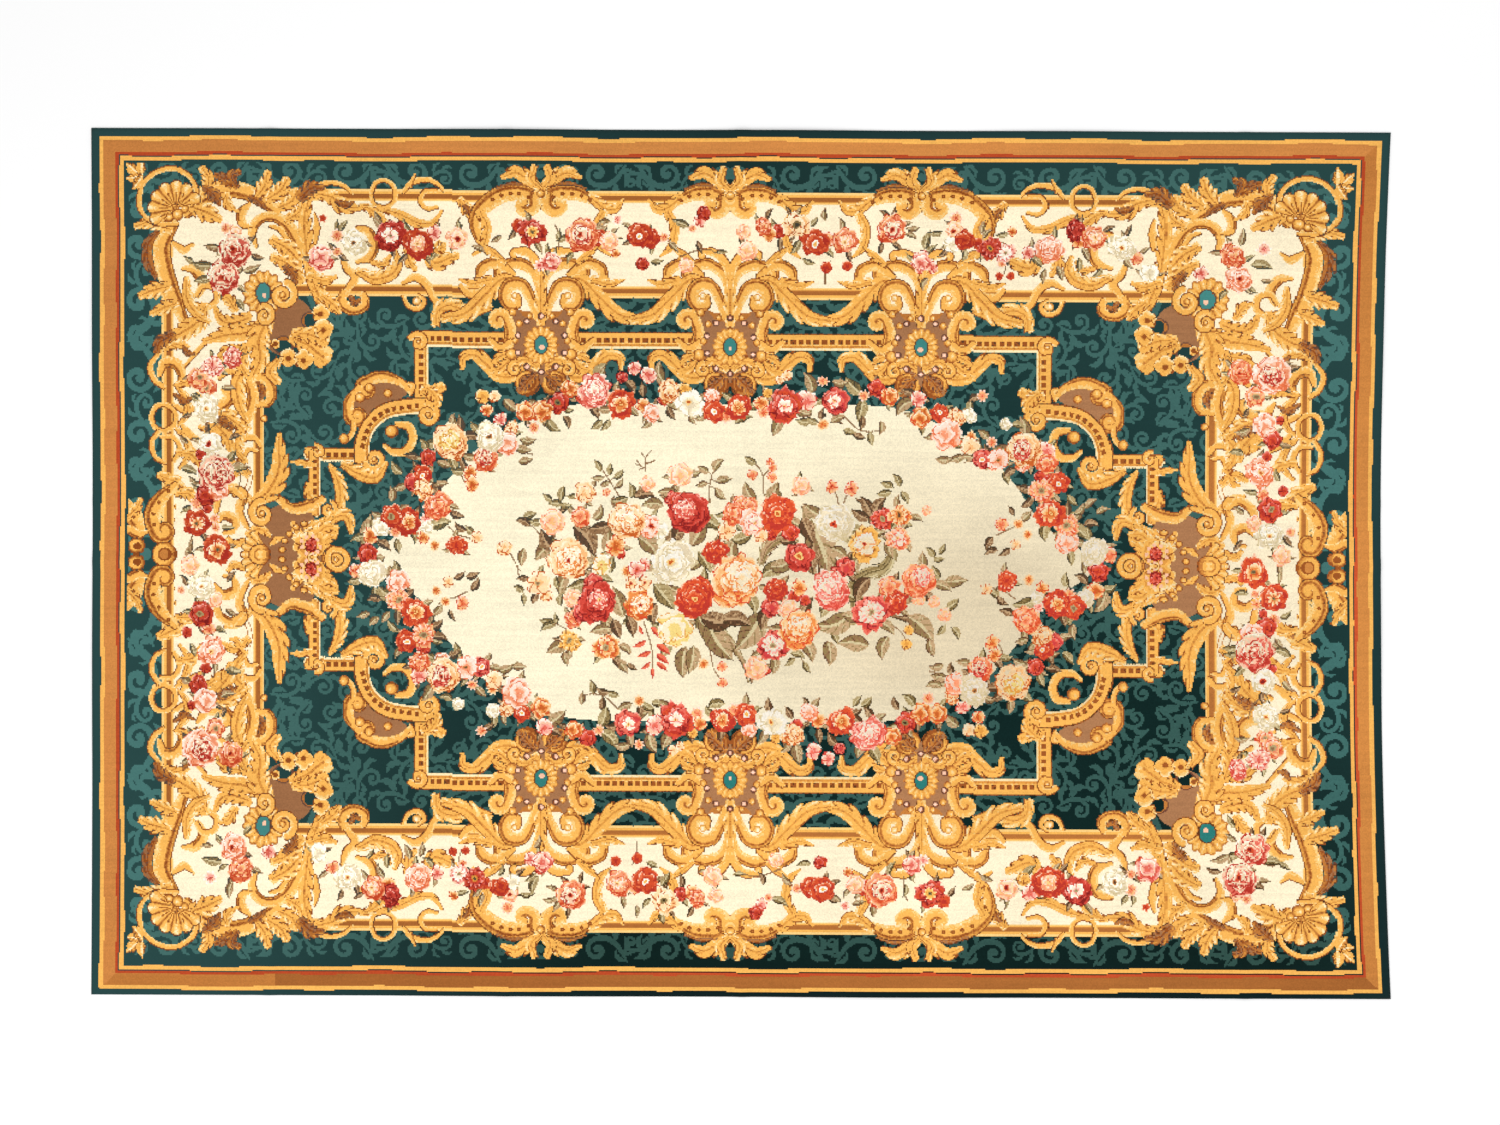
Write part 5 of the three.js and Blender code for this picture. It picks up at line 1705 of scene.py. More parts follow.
    FLOWERS = {
        (Bloom.DAISY, Tint.PEACH, Heart.GREY): ((-41, -4.5, 2.7),),
        (Bloom.POPPY, Tint.PEACH): ((-48.3, 3, 1.7), (-39, -7, 1.4), (-31, 14.5, 2.3)),
        (Bloom.POPPY, Tint.CORAL): (
            (-32, 9.5, 2.1), (4.2, 12.2, 1.7), (2, 12.6, 1.6), (33.5, -5, 2.3), (-33.5, -12, 1.9),
            (-26.4, 14.6, 0.9),
        ),
        (Bloom.POPPY, Tint.HAZE): (
            (-38, 8.5, 2.7), (-17.8, 16.5, 1.6), (-10.5, 18.2, 2.6), (15, 16.6, 2), (41.5, 11.4, 1.1),
            (43, -8, 1.3),
            (45.2, -10.4, 1.5), (5.5, -21.8, 2.5), (-33.4, -7.6, 1.9), (12, -9.6, 2.1), (39.6, -7.6, 1.4),
        ),
        (Bloom.STAR, Tint.CORAL): (
            (8.4, 21.4, 0.9), (9, 20.2, 1), (4.6, 18.7, 1.1), (8.8, 18.2, 1.1), (-1.7, -21.7, 1.1),
            (-1.7, -25.2, 1.1),
        ),
        (Bloom.STAR, Tint.CRIMSON): (
            (13.5, -7, 1.4), (-23.2, 1.5, 1), (5.5, -23.4, 0.9), (7.6, -22.6, 0.9), (15.8, -7.6, 1.2),
        ),
        (Bloom.ROSE, Tint.PEACH): ((-22.5, 8.8, 4),),
        (Bloom.ROSE, Tint.CERISE): ((-9, 10.8, 4.5),),
        (Bloom.POPPY, Tint.CRIMSON): ((-12, 13, 2), (12.8, 6.4, 1.9), (8.7, 6.3, 1.3)),
        (Bloom.POPPY, Tint.MAGENTA): (
            (24.3, -0.8, 2.1), (-29, -4.4, 1.9), (22, -2.2, 1.6), (-31.4, -10.6, 2), (8.7, -9.2, 2),
        ),
        (Bloom.POPPY, Tint.BLUSH, Heart.RED): ((-17, 7.5, 2.4), (4.8, 8.6, 2.7)),
        (Bloom.PEONY, Tint.CORAL): ((0.5, 10.5, 2.4),),
        (Bloom.DAISY, Tint.WHITE): ((-14.6, 6.4, 1.7),),
        (Bloom.PEONY, Tint.WHITE, Heart.SUNNY): ((-12.5, 0, 4.8),),
        (Bloom.DAISY, Tint.ORANGE): ((-24.4, 3.5, 2.2), (-22, -2, 1.3), (-5.6, -21.5, 1.2),
                                     (14.5, -5, 1.7)),
        (Bloom.DAISY, Tint.LEMON, Heart.SUNNY): ((-27.4, -0.6, 2.1),),
        (Bloom.DAISY, Tint.PINK, Heart.RED): ((-20, -1.7, 1.8), (-18.4, -0.6, 1.4)),
        (Bloom.DAISY, Tint.PEACH, Heart.RED): ((-21.2, -4.5, 1.4), (-18.3, -4.5, 1.5)),
        (Bloom.PEONY, Tint.CERISE, Heart.SUNNY): ((-28.5, -8.6, 4.3),),
        (Bloom.ASTER, Tint.GILT, Heart.GREY): ((-34.2, -16.7, 2.3),),
        (Bloom.ASTER, Tint.ORANGE, Heart.GREY): ((-26.5, -18, 2.8),),
        (Bloom.ROSE, Tint.PEACH, Heart.RED): ((-34.5, 0.3, 4.4),),
        (Bloom.ROSE, Tint.ORANGE, Heart.RED): ((-19.2, -9, 3.1),),
        (Bloom.POPPY, Tint.LEMON): ((-11.8, -14.4, 3.7),),
        (Bloom.PEONY, Tint.SCARLET, Heart.BROWN): ((-7.5, -7.4, 4.3),),
        (Bloom.PEONY, Tint.SCARLET): ((-3, 2.2, 2.7), (9.6, -5.4, 2.5), (34.9, -8.2, 2.6)),
        (Bloom.DAISY, Tint.PEACH): ((-0.6, 7, 2.1), (6.5, 5.8, 1.6)),
        (Bloom.ASTER, Tint.SCARLET, Heart.SUNNY): ((10, 10.5, 3.9),),
        (Bloom.POPPY, Tint.CERISE, Heart.SUNNY): ((14.5, 1.6, 3.1),),
        (Bloom.ROSE, Tint.WHITE, Heart.RED): ((21.6, 8.4, 4.1),),
        (Bloom.DAISY, Tint.CORAL, Heart.RED): ((21.3, 16.4, 1.4), (25.3, 15.9, 1.5)),
        (Bloom.ASTER, Tint.GILT, Heart.RED): ((28.2, 4.2, 3.7),),
        (Bloom.ASTER, Tint.CRIMSON, Heart.GREY): ((32, 9.5, 2.4),),
        (Bloom.ASTER, Tint.ORANGE, Heart.BROWN): ((35.6, 10.3, 2.4),),
        (Bloom.ASTER, Tint.CORAL, Heart.OLIVE): ((35.3, 5.4, 2.6),),
        (Bloom.PEONY, Tint.PINK): ((21.2, -5.4, 4.2),),
        (Bloom.ASTER, Tint.MAGENTA, Heart.GREY): ((29.6, -10.3, 4), (9, -17.3, 3.3)),
        (Bloom.ROSE, Tint.CORAL): ((40, -3.4, 3.7),),
        (Bloom.STAR, Tint.GILT): ((37.5, -14, 1.1), (37, -16.8, 1.2)),
        (Bloom.PEONY, Tint.RUFFLE): ((1, -3.8, 5.6), (14.3, -13.7, 4.3)),
    }

    INNER = {
        (Bloom.PEONY, Tint.GLOW): ((2.2, -2.8, 3.7), (14.6, -13.2, 2.3), (-22, 9.4, 2.8)),
        (Bloom.PEONY, Tint.PINK): ((-9.6, 11, 2.2),),
        (Bloom.PEONY, Tint.PALE): ((20.6, -4.8, 3), (40.4, -2.6, 2)),
        (Bloom.ASTER, Tint.PALE, Heart.GREY): ((29.6, -10.3, 2.5), (9, -17.3, 2.1)),
        (Bloom.DAISY, Tint.GLOW, Heart.RED): ((28.2, 4.2, 2.3),),
        (Bloom.DAISY, Tint.PALE, Heart.SUNNY): ((35.3, 5.4, 1.5), (5.2, 8.6, 1.6)),
        (Bloom.PEONY, Tint.PINK, Heart.SUNNY): ((-28, -8, 2),),
        (Bloom.PEONY, Tint.GLOW, Heart.RED): ((-34.5, 0.3, 2.7), (-19.2, -9, 2)),
        (Bloom.POPPY, Tint.SCARLET, Heart.SUNNY): ((10, 10.5, 2.3), (-7.5, -7.8, 2.4)),
    }

    def fern(self) -> None:
        """Paints the sprig of narrow crimson leaves."""
        ramp = (Yarn.CRIMSON, Yarn.CRIMSON, Yarn.ROSE, Yarn.CORAL)
        for x, y, size, angle in (
            (-19.1, -14.3, 0.9, 115), (-16.1, -14.8, 1.4, -50), (-19.4, -17.3, 1.4, 205),
            (-14.2, -18.4, 1.8, -35),
            (-18.4, -19.4, 1.4, 200), (-14.3, -20.5, 1.6, -38), (-18.1, -21.9, 1.1, 215),
            (-14.5, -22.1, 1.4, -35),
            (-16.7, -23.4, 1, -85),
        ):
            turn = math.radians(angle)
            foot = (x - size * math.cos(turn), y - size * math.sin(turn))
            self.c.leaf(*foot, angle, 2 * size, 0.42, ramp, 0.05)

    def curls(self) -> None:
        """Paints the long curling leaves behind the flowers."""
        for points, half, ramp in (
            (((32.6, 6), (34, 2.6), (32.4, -0.8), (28.4, -2.2), (25.6, -4.8), (25.8, -8.6)),
             (0.6, 1.4, 1.6, 1.4, 1), GREENERY),
            (((15.4, 12), (16.6, 8), (18.8, 4.4), (20, 1), (19.6, -2)), (0.4, 1.2, 1.9, 2, 1), AUTUMN),
            (((6.6, 0.4), (8, 3.6), (11, 5.4), (14, 4.6)), (1, 1.6, 1.4, 0.5), AUTUMN),
            (((34, -11), (38, -12), (41.4, -14.6), (42.4, -19)), (0.4, 0.8, 0.9, 0.3), DUSK),
            (((-1.6, -14), (1, -18), (3, -21.4), (3.8, -25)), (0.7, 0.9, 0.6, 0.2), AUTUMN),
            (((26.6, 13.6), (29, 12), (29.4, 9)), (0.4, 0.8, 0.5), DUSK),
        ):
            self.c.acanthus(trace(points), half, 4, 0, ramp, 1.6)


@dataclass
class Design:
    """The rug's whole cartoon, from its grounds to the flowers. Its sizes are in centimetres."""

    columns: int = 1080
    rows: int = 720
    pitch: float = 0.254
    seed: int = 7
    half_length: float = 137.16
    half_width: float = 91.44
    end_lift: float = 0.9
    bow: float = 2.2
    skew: float = 0.6

    def pattern(self, c: Cartoon) -> np.ndarray:
        """Paints the design: the quadrant first, then its mirror images, then the flowers.

        Args:
            c: The cartoon, with its plain ground.

        Returns:
            The yarn of each stitch.
        """
        for ornament in (Damask, Medallion, Mouldings, StrapWork, BorderRings, TopCartouche, SideCartouche,
                         Corner):
            ornament(c).paint()
        upper, left = self.rows // 2, self.columns // 2
        c.yarn[upper:, left:] = c.yarn[upper:, :left][:, ::-1]
        c.yarn[:upper] = c.yarn[upper:][::-1]
        for posy, filler in ((TopPosies, 2), (SidePosies, 2), (Wreath, 3)):
            posy(c).arrange(filler=filler)
        bouquet = Bouquet(c)
        bouquet.curls()
        bouquet.arrange(turned=False, filler=3)
        bouquet.fern()
        return c.yarn

    def woven(self) -> np.ndarray:
        """Weaves the cartoon as the rug has it: a little out of true, and with its guard bands.

        Returns:
            The yarn of each stitch of the rug.
        """
        c = Cartoon(self.columns, self.rows, self.pitch, self.seed)
        pattern = self.pattern(c)
        x, y = np.meshgrid(c.x, c.y)
        high = np.clip((-x - 84) / 12, 0, 1) * np.exp(-((y / 22) ** 2))
        from_x = x + self.bow * (1 - (x / 130) ** 2)
        from_y = y - 0.1 + self.skew * (x / 130) - self.end_lift * high
        columns = np.clip((from_x - c.x[0]) / c.pitch + 0.5, 0, self.columns - 1).astype(int)
        rows = np.clip((from_y - c.y[0]) / c.pitch + 0.5, 0, self.rows - 1).astype(int)
        return self.guards(pattern[rows, columns], x, y)

    def guards(self, yarn: np.ndarray, x: np.ndarray, y: np.ndarray) -> np.ndarray:
        """Lays the bands that run round the rug: green selvedge, gold, brown, red and gold, with painted
        light and shade on the brown.

        Args:
            yarn: The yarns of the rug.
            x: Each stitch's place along the rug.
            y: Each stitch's place across it.

        Returns:
            The yarns with the bands over them.
        """
        drift = 0.12 * np.sin(x / 9 + 1) + 0.10 * np.sin(x / 3.7)
        drift = drift + 0.10 * np.sin(y / 7 + 2) + 0.08 * np.sin(y / 2.9)
        ends = self.half_length - np.abs(x) + drift
        sides = self.half_width - np.abs(y) + drift + 0.45 * (y < 0)
        sides = np.where(y < 0, sides, sides - 0.05)
        inward = np.minimum(ends, sides * 1.02)
        end = ends < sides * 1.02
        # Painted light and shade: the brown band is worked lighter at the left end and along the top side,
        # and darker along the lower side right of x = -98.4.
        brown_band_lit_and_shaded = np.where((end & (x < 0)) | (~end & (y > 0)), Yarn.STRIPE_PALE, Yarn.STRIPE)
        brown_band_lit_and_shaded = np.where(~end & (y < 0) & (x > -98.4), Yarn.STRIPE_DEEP, brown_band_lit_and_shaded)
        for first, last, band in (
            (-9.0, 1.75, Yarn.SELVEDGE),
            (1.75, 2.6, Yarn.LINE),
            (2.6, 5.15, brown_band_lit_and_shaded),
            (5.15, 5.75, Yarn.STRIPE_RED),
            (5.75, 6.0, Yarn.GROUND),
            (6.0, 6.85, Yarn.LINE),
            (6.85, 7.4, Yarn.GROUND),
        ):
            yarn = np.where((inward >= first) & (inward < last), band, yarn)
        return yarn.astype(np.uint8)


@dataclass(frozen=True)
class Fold:
    """A soft ridge that storage has left: where it lies and how high it is, in metres."""

    at: float
    height: float


@dataclass(frozen=True)
class EdgeWave:
    """How one side cockles: its number of waves, their height in metres and where the first one starts."""

    waves: float
    height: float
    start: float


def fade(distance: np.ndarray, reach: float) -> np.ndarray:
    """Eases from 1 at no distance to 0 at the reach: s squared times (3 - 2 s), with s = 1 - d / reach."""
    share = np.clip(1 - distance / reach, 0, 1)
    return share * share * (3 - 2 * share)


@dataclass
class WovenPanel:
    """The rug's one woven panel, with its turned hem, as a closed thin sheet lying on the floor."""

    length: float = 2.743
    width: float = 1.829
    thickness: float = 0.004
    skew: float = 0.010
    right_drawn_in: float = 0.022
    left_drawn_in: float = 0.003
    crease_half_width: float = 0.026
    edge_reach: float = 0.260
    pressed_flat: float = 0.0006
    columns: int = 270
    rows: int = 180
    stitches: int = 4
    hem_round: float = 0.0013
    hem_under: float = 0.6
    unevenness: float = 0.00022
    map_edge: float = 0.004
    map_half: float = 0.47
    map_shelf: float = 0.675
    map_row: int = 60
    map_gap: float = 0.8
    folds_across: tuple[Fold, ...] = (
        Fold(-0.995, 0.0020),
        Fold(-0.498, 0.0017),
        Fold(0.0, 0.0025),
        Fold(1.064, 0.0020),
    )
    folds_along: tuple[Fold, ...] = (Fold(0.0, 0.0021), Fold(0.129, 0.0014))
    front: EdgeWave = EdgeWave(3.5, 0.0050, 0.35)
    back: EdgeWave = EdgeWave(4.5, 0.0055, 0.10)
    left: EdgeWave = EdgeWave(2.5, 0.0050, 0.55)
    right: EdgeWave = EdgeWave(3.0, 0.0045, 0.20)

    def fold_height(self, place: np.ndarray, folds: tuple[Fold, ...]) -> np.ndarray:
        """Adds up parallel folds, each its height times the fade of the distance from its ridge."""
        return sum(fold.height * fade(np.abs(place - fold.at), self.crease_half_width) for fold in folds)

    def edge_height(self, wave: EdgeWave, share: np.ndarray, distance: np.ndarray) -> np.ndarray:
        """Lifts one side: height times sin squared of its waves, sin of its share and a fade inwards."""
        crest = np.sin(np.pi * (wave.waves * share + wave.start))
        return wave.height * crest**2 * np.sin(np.pi * share) * fade(distance, self.edge_reach)

    def lift(self, x: np.ndarray, y: np.ndarray) -> np.ndarray:
        """Works out how high the underside lies over a place of the flat weave.

        Args:
            x: Places along the rug, in metres from its middle.
            y: Places across it.

        Returns:
            The folds and the four cockled sides added up, less what the rug's weight presses flat.
        """
        along = x / self.length + 0.5
        across = y / self.width + 0.5
        relaxed = self.fold_height(x, self.folds_across) + self.fold_height(y, self.folds_along)
        relaxed = relaxed + self.edge_height(self.front, along, self.width / 2 + y)
        relaxed = relaxed + self.edge_height(self.back, along, self.width / 2 - y)
        relaxed = relaxed + self.edge_height(self.left, across, self.length / 2 + x)
        relaxed = relaxed + self.edge_height(self.right, across, self.length / 2 - x)
        return np.maximum(relaxed - self.pressed_flat, 0)

    def plan(self, x: np.ndarray, y: np.ndarray) -> tuple[np.ndarray, np.ndarray]:
        """Works out where a place of the flat weave lies on the floor.

        Args:
            x: Places along the rug, in metres from its middle.
            y: Places across it.

        Returns:
            x drawn in by (1 - v squared) u squared at each end, and y turned down towards the right end.
        """
        u = x / (self.length / 2)
        v = y / (self.width / 2)
        bow = (1 - v * v) * u * u
        drawn_in = np.where(u > 0, -self.right_drawn_in, self.left_drawn_in) * bow
        return x + drawn_in, y - self.skew / 2 * u

    def skin(self) -> tuple[np.ndarray, np.ndarray]:
        """Works out the panel's two skins on one grid.

        Returns:
            The top skin and the underside, each as rows by columns by 3. Both follow plan() and lift(),
            the top one a thickness higher and slightly uneven, and both draw together at the rounded hem.
        """
        x, y = np.meshgrid(
            np.linspace(-self.length / 2, self.length / 2, self.columns + 1),
            np.linspace(-self.width / 2, self.width / 2, self.rows + 1),
        )
        px, py = self.plan(x, y)
        height = self.lift(x, y)
        uneven = np.sin(9.1 * x + 1.3 * np.sin(7.3 * y)) * np.sin(11.7 * y + 1.1 * np.sin(5.9 * x + 0.7))
        uneven += 0.5 * np.sin(23 * x + 2.0 * np.sin(13 * y + 1.9)) * np.sin(19 * y + 0.4)
        rim = np.zeros_like(x)
        rim[[0, -1], :] = 1
        rim[:, [0, -1]] = 1
        top = height + self.thickness + self.unevenness * uneven * (1 - rim) - self.hem_round * rim
        under = height + self.hem_round * self.hem_under * rim
        middle_x = (px.min() + px.max()) / 2
        middle_y = (py.min() + py.max()) / 2
        place = np.stack([px - middle_x, py - middle_y], -1)
        lowest = height.min()
        return (
            np.concatenate([place, (top - lowest)[..., None]], -1),
            np.concatenate([place, (under - lowest)[..., None]], -1),
        )

    def faces(self) -> np.ndarray:
        """Lists the panel's quads: the top skin, then the underside turned over, then the rim.

        Returns:
            The numbers of each quad's four vertices.
        """
        across = self.columns + 1
        grid = np.arange((self.rows + 1) * across).reshape(self.rows + 1, across)
        under = grid + grid.size

        def quads(g: np.ndarray) -> np.ndarray:
            """Joins neighbours of a grid into quads, facing the way of right-handed rows and columns."""
            return np.stack([g[:-1, :-1], g[:-1, 1:], g[1:, 1:], g[1:, :-1]], -1).reshape(-1, 4)

        rim = [
            quads(np.stack([under[0], grid[0]])),
            quads(np.stack([under[-1], grid[-1]]))[:, ::-1],
            quads(np.stack([under[:, -1], grid[:, -1]])),
            quads(np.stack([under[:, 0], grid[:, 0]]))[:, ::-1],
        ]
        return np.concatenate([quads(grid), quads(under)[:, ::-1], *rim])

    def loom_places(self) -> np.ndarray:
        """Gives each vertex its place on the loom.

        Returns:
            The places, counted in faces from the front left corner.
        """
        u, v = np.meshgrid(np.arange(self.columns + 1.0), np.arange(self.rows + 1.0))
        one = np.stack([u, v], -1).reshape(-1, 2)
        return np.concatenate([one, one])

    def build(self, yarn: np.ndarray, weave: bpy.types.Material) -> bpy.types.Object:
        """Makes the panel's mesh and gives its faces their stitches.

        Args:
            yarn: The yarn number of each stitch, rows by columns.
            weave: The material that shows the stitches.

        Returns:
            The finished piece, with its place in its mesh.
        """
        top, under = self.skin()
        vertices = np.concatenate([top.reshape(-1, 3), under.reshape(-1, 3)])
        faces = self.faces()
        mesh = bpy.data.meshes.new("woven_panel")
        mesh.vertices.add(len(vertices))
        mesh.vertices.foreach_set("co", vertices.astype(np.float32).ravel())
        mesh.loops.add(faces.size)
        mesh.loops.foreach_set("vertex_index", faces.astype(np.int32).ravel())
        mesh.polygons.add(len(faces))
        mesh.polygons.foreach_set("loop_start", np.arange(0, faces.size, 4, dtype=np.int32))
        mesh.update(calc_edges=True)
        mesh.validate()
        mesh.polygons.foreach_set("use_smooth", np.ones(len(faces), bool))
        self.lay_loom_map(mesh, faces)
        self.lay_stitches(mesh, yarn, faces)
        mesh.materials.append(weave)
        mesh.update()
        piece = bpy.data.objects.new("woven_panel", mesh)
        bpy.context.scene.collection.objects.link(piece)
        return piece

    def lay_loom_map(self, mesh: bpy.types.Mesh, faces: np.ndarray) -> None:
        """Adds the loom map, which the weave reads, and a second map with room for each side of the cloth.

        Args:
            mesh: The panel's mesh.
            faces: The vertices of its quads.
        """
        place = self.loom_places()[faces]
        skin_faces = self.columns * self.rows
        rim = np.arange(len(faces)) >= 2 * skin_faces
        loom = mesh.uv_layers.new(name="loom")
        loom.data.foreach_set("uv", place.astype(np.float32).ravel())
        flat = place / self.columns
        sheet = self.map_edge + (1 - 2 * self.map_edge) * flat
        under = slice(skin_faces, 2 * skin_faces)
        sheet[under] = flat[under] * self.map_half + np.array([self.map_edge, self.map_shelf])
        corner = np.array([[0, 0], [1, 0], [1, 1], [0, 1]])
        cells = np.arange(rim.sum())
        step = self.map_half / self.map_row
        cell = np.stack([cells % self.map_row, cells // self.map_row], -1) * step
        sheet[rim] = np.array([0.5, self.map_shelf]) + cell[:, None, :] + corner * step * self.map_gap
        spread = mesh.uv_layers.new(name="OFBake")
        spread.data.foreach_set("uv", sheet.astype(np.float32).ravel())

    def lay_stitches(self, mesh: bpy.types.Mesh, yarn: np.ndarray, faces: np.ndarray) -> None:
        """Gives each face the yarn numbers of its stitches, one colour attribute for each row of them.

        Args:
            mesh: The panel's mesh.
            yarn: The yarn number of each stitch.
            faces: The vertices of its quads.
        """
        n = self.stitches
        cells = yarn.reshape(self.rows, n, self.columns, n).transpose(0, 2, 1, 3).reshape(-1, n, n)
        held = np.full((len(faces), n, n), int(Yarn.GROUND), np.float32)
        held[: 2 * len(cells)] = np.concatenate([cells, cells])
        for row in range(n):
            layer = mesh.attributes.new(f"stitch row {row + 1}", "FLOAT_COLOR", "FACE")
            layer.data.foreach_set("color", np.ascontiguousarray(held[:, row]).ravel())


class Nodes:
    """A node tree that is built by short calls. A value is a socket or a plain number, vector or colour."""

    def __init__(self, tree: bpy.types.NodeTree) -> None:
        """Starts on a tree."""
        self.tree = tree

    def add(self, kind: str, label: str = "", **settings: object) -> bpy.types.Node:
        """Adds a node.

        Args:
            kind: The node's type name, without ShaderNode.
            label: What it is for.
            **settings: Its properties.

        Returns:
            The node.
        """
        node = self.tree.nodes.new(kind if kind.startswith("Node") else f"ShaderNode{kind}")
        node.label = label
        for name, value in settings.items():
            setattr(node, name, value)
        return node

    def join(self, source: object, target: bpy.types.NodeSocket) -> None:
        """Links a socket to another, or sets it where the source is a plain value.

        Args:
            source: What goes in.
            target: The input that takes it.
        """
        if isinstance(source, bpy.types.NodeSocket):
            self.tree.links.new(source, target)
        else:
            target.default_value = source

    def sum(self, operation: str, *values: object, label: str = "") -> bpy.types.NodeSocket:
        """Adds a Math node.

        Args:
            operation: Its operation.
            *values: Its inputs.
            label: What it is for.

        Returns:
            Its output.
        """
        node = self.add("Math", label, operation=operation)
        for value, socket in zip(values, node.inputs):
            self.join(value, socket)
        return node.outputs[0]

    def vector(self, label: str, operation: str, place: object, by: object = None) -> bpy.types.NodeSocket:
        """Adds a Vector Math node.

        Args:
            label: What it is for.
            operation: Its operation.
            place: Its first vector.
            by: Its second vector, or the number it is scaled by.

        Returns:
            Its output.
        """
        node = self.add("VectorMath", label, operation=operation)
        self.join(place, node.inputs[0])
        if by is not None:
            self.join(by, node.inputs["Scale"] if operation == "SCALE" else node.inputs[1])
        return node.outputs["Value"] if operation == "DISTANCE" else node.outputs[0]

    def split(self, kind: str, value: object) -> bpy.types.bpy_prop_collection:
        """Takes a vector or a colour apart.

        Args:
            kind: XYZ or Color.
            value: The vector or colour.

        Returns:
            Its three numbers.
        """
        node = self.add(f"Separate{kind}", "its three numbers")
        self.join(value, node.inputs[0])
        return node.outputs

    def noise(self, label: str, place: object, scale: float, detail: float) -> bpy.types.NodeSocket:
        """Adds a flat noise.

        Args:
            label: What it is for.
            place: Where it is read.
            scale: Its scale.
            detail: How many finer layers it has.

        Returns:
            Its value.
        """
        node = self.add("TexNoise", label, noise_dimensions="2D")
        self.join(place, node.inputs["Vector"])
        self.join(scale, node.inputs["Scale"])
        self.join(detail, node.inputs["Detail"])
        return node.outputs[0]

    def blend(self, kind: str, factor: object, low: object, high: object,
              label: str = "") -> bpy.types.NodeSocket:
        """Adds a Mix node.

        Args:
            kind: FLOAT, VECTOR or RGBA.
            factor: How much of the second value shows.
            low: The first value.
            high: The second value.
            label: What it is for.

        Returns:
            Its output.
        """
        node = self.add("Mix", label, data_type=kind)
        place = ("FLOAT", "VECTOR", "RGBA").index(kind)
        self.join(factor, node.inputs[0])
        self.join(low, node.inputs[2 + 2 * place])
        self.join(high, node.inputs[3 + 2 * place])
        return node.outputs[place]

    def tinted(self, label: str, colour: object, tint: Colour) -> bpy.types.NodeSocket:
        """Multiplies a colour by a tint.

        Args:
            label: What it is for.
            colour: The colour.
            tint: The tint.

        Returns:
            Their product.
        """
        mixed = self.blend("RGBA", 1.0, colour, tint, label)
        mixed.node.blend_type = "MULTIPLY"
        return mixed


def new_group(name: str, takes: dict[str, str], gives: dict[str, str]) -> tuple[Nodes, object, object]:
    """Starts a shader node group.

    Args:
        name: The group's name.
        takes: Its inputs, each a name and a socket type's last word.
        gives: Its outputs, in the same way.

    Returns:
        Its nodes, the outputs of its input node, and the inputs of its output node.
    """
    tree = bpy.data.node_groups.new(name, "ShaderNodeTree")
    for way, sockets in (("INPUT", takes), ("OUTPUT", gives)):
        for label, kind in sockets.items():
            tree.interface.new_socket(label, in_out=way, socket_type=f"NodeSocket{kind}")
    nodes = Nodes(tree)
    return nodes, nodes.add("NodeGroupInput").outputs, nodes.add("NodeGroupOutput").inputs


@dataclass(frozen=True)
class StitchPicker:
    """The group that finds which of a face's stitches a point is in, and gives its yarn number."""

    name: str = "stitch picker"
    stitches: int = 4

    def build(self) -> bpy.types.NodeTree:
        """Makes the group: the row of the stitch picks an attribute, and its column one number of that.

        Returns:
            The group.
        """
        nodes, takes, gives = new_group(self.name, {"Loom": "Vector"}, {"Yarn": "Float"})
        cell = nodes.split("XYZ", nodes.vector("place in the face", "FRACTION", takes["Loom"]))
        names = [f"stitch row {row + 1}" for row in range(self.stitches)]
        rows = [nodes.add("Attribute", name, attribute_name=name).outputs for name in names]
        colour, last = rows[0]["Color"], rows[0]["Alpha"]
        for row in range(1, self.stitches):
            past = nodes.sum("GREATER_THAN", cell[1], row / self.stitches, label="past this row")
            colour = nodes.blend("RGBA", past, colour, rows[row]["Color"])
            last = nodes.blend("FLOAT", past, last, rows[row]["Alpha"])
        picked, *others = nodes.split("Color", colour)
        for column, value in enumerate((*others, last), 1):
            past = nodes.sum("GREATER_THAN", cell[0], column / self.stitches, label="past this column")
            picked = nodes.blend("FLOAT", past, picked, value)
        nodes.join(picked, gives["Yarn"])
        return nodes.tree


@dataclass(frozen=True)
class DyeShelf:
    """The group that turns a yarn number into its dyed colour."""

    name: str = "dye shelf"
    shelf: int = 32

    def build(self) -> bpy.types.NodeTree:
        """Makes the group: two stepped ramps, for the yarns below and from the shelf's length on.

        Returns:
            The group.
        """
        nodes, takes, gives = new_group(self.name, {"Yarn": "Float"}, {"Colour": "Color"})
        place = nodes.sum("MULTIPLY_ADD", takes["Yarn"], 1 / self.shelf, 0.5 / self.shelf)
        low = self.ramp(nodes, place, 0)
        high = self.ramp(nodes, nodes.sum("SUBTRACT", place, 1.0), self.shelf)
        upper = nodes.sum("GREATER_THAN", takes["Yarn"], self.shelf - 0.5, label="on the upper shelf")
        nodes.join(nodes.blend("RGBA", upper, low, high), gives["Colour"])
        return nodes.tree

    def ramp(self, nodes: Nodes, place: bpy.types.NodeSocket, first: int) -> bpy.types.NodeSocket:
        """Adds a stepped ramp with one stop for each yarn.

        Args:
            nodes: The group's nodes.
            place: The ramp's input.
            first: The number of its first yarn.

        Returns:
            The ramp's colour.
        """
        node = nodes.add("ValToRGB", f"yarns from {first}")
        node.color_ramp.interpolation = "CONSTANT"
        stops = node.color_ramp.elements
        yarns = [yarn for yarn in Yarn if first <= yarn < first + self.shelf]
        for order, yarn in enumerate(yarns):
            at = (yarn - first) / self.shelf
            stop = stops[order] if order < 2 else stops.new(at)
            stop.position = at
            stop.color = linear(yarn.dye)
        nodes.join(place, node.inputs[0])
        return node.outputs[0]


def linear(colour: tuple[int, int, int]) -> Colour:
    """Turns a display colour out of 255 into a linear one."""
    share = [c / 255 for c in colour]
    return (*(c / 12.92 if c <= 0.04045 else ((c + 0.055) / 1.055) ** 2.4 for c in share), 1.0)


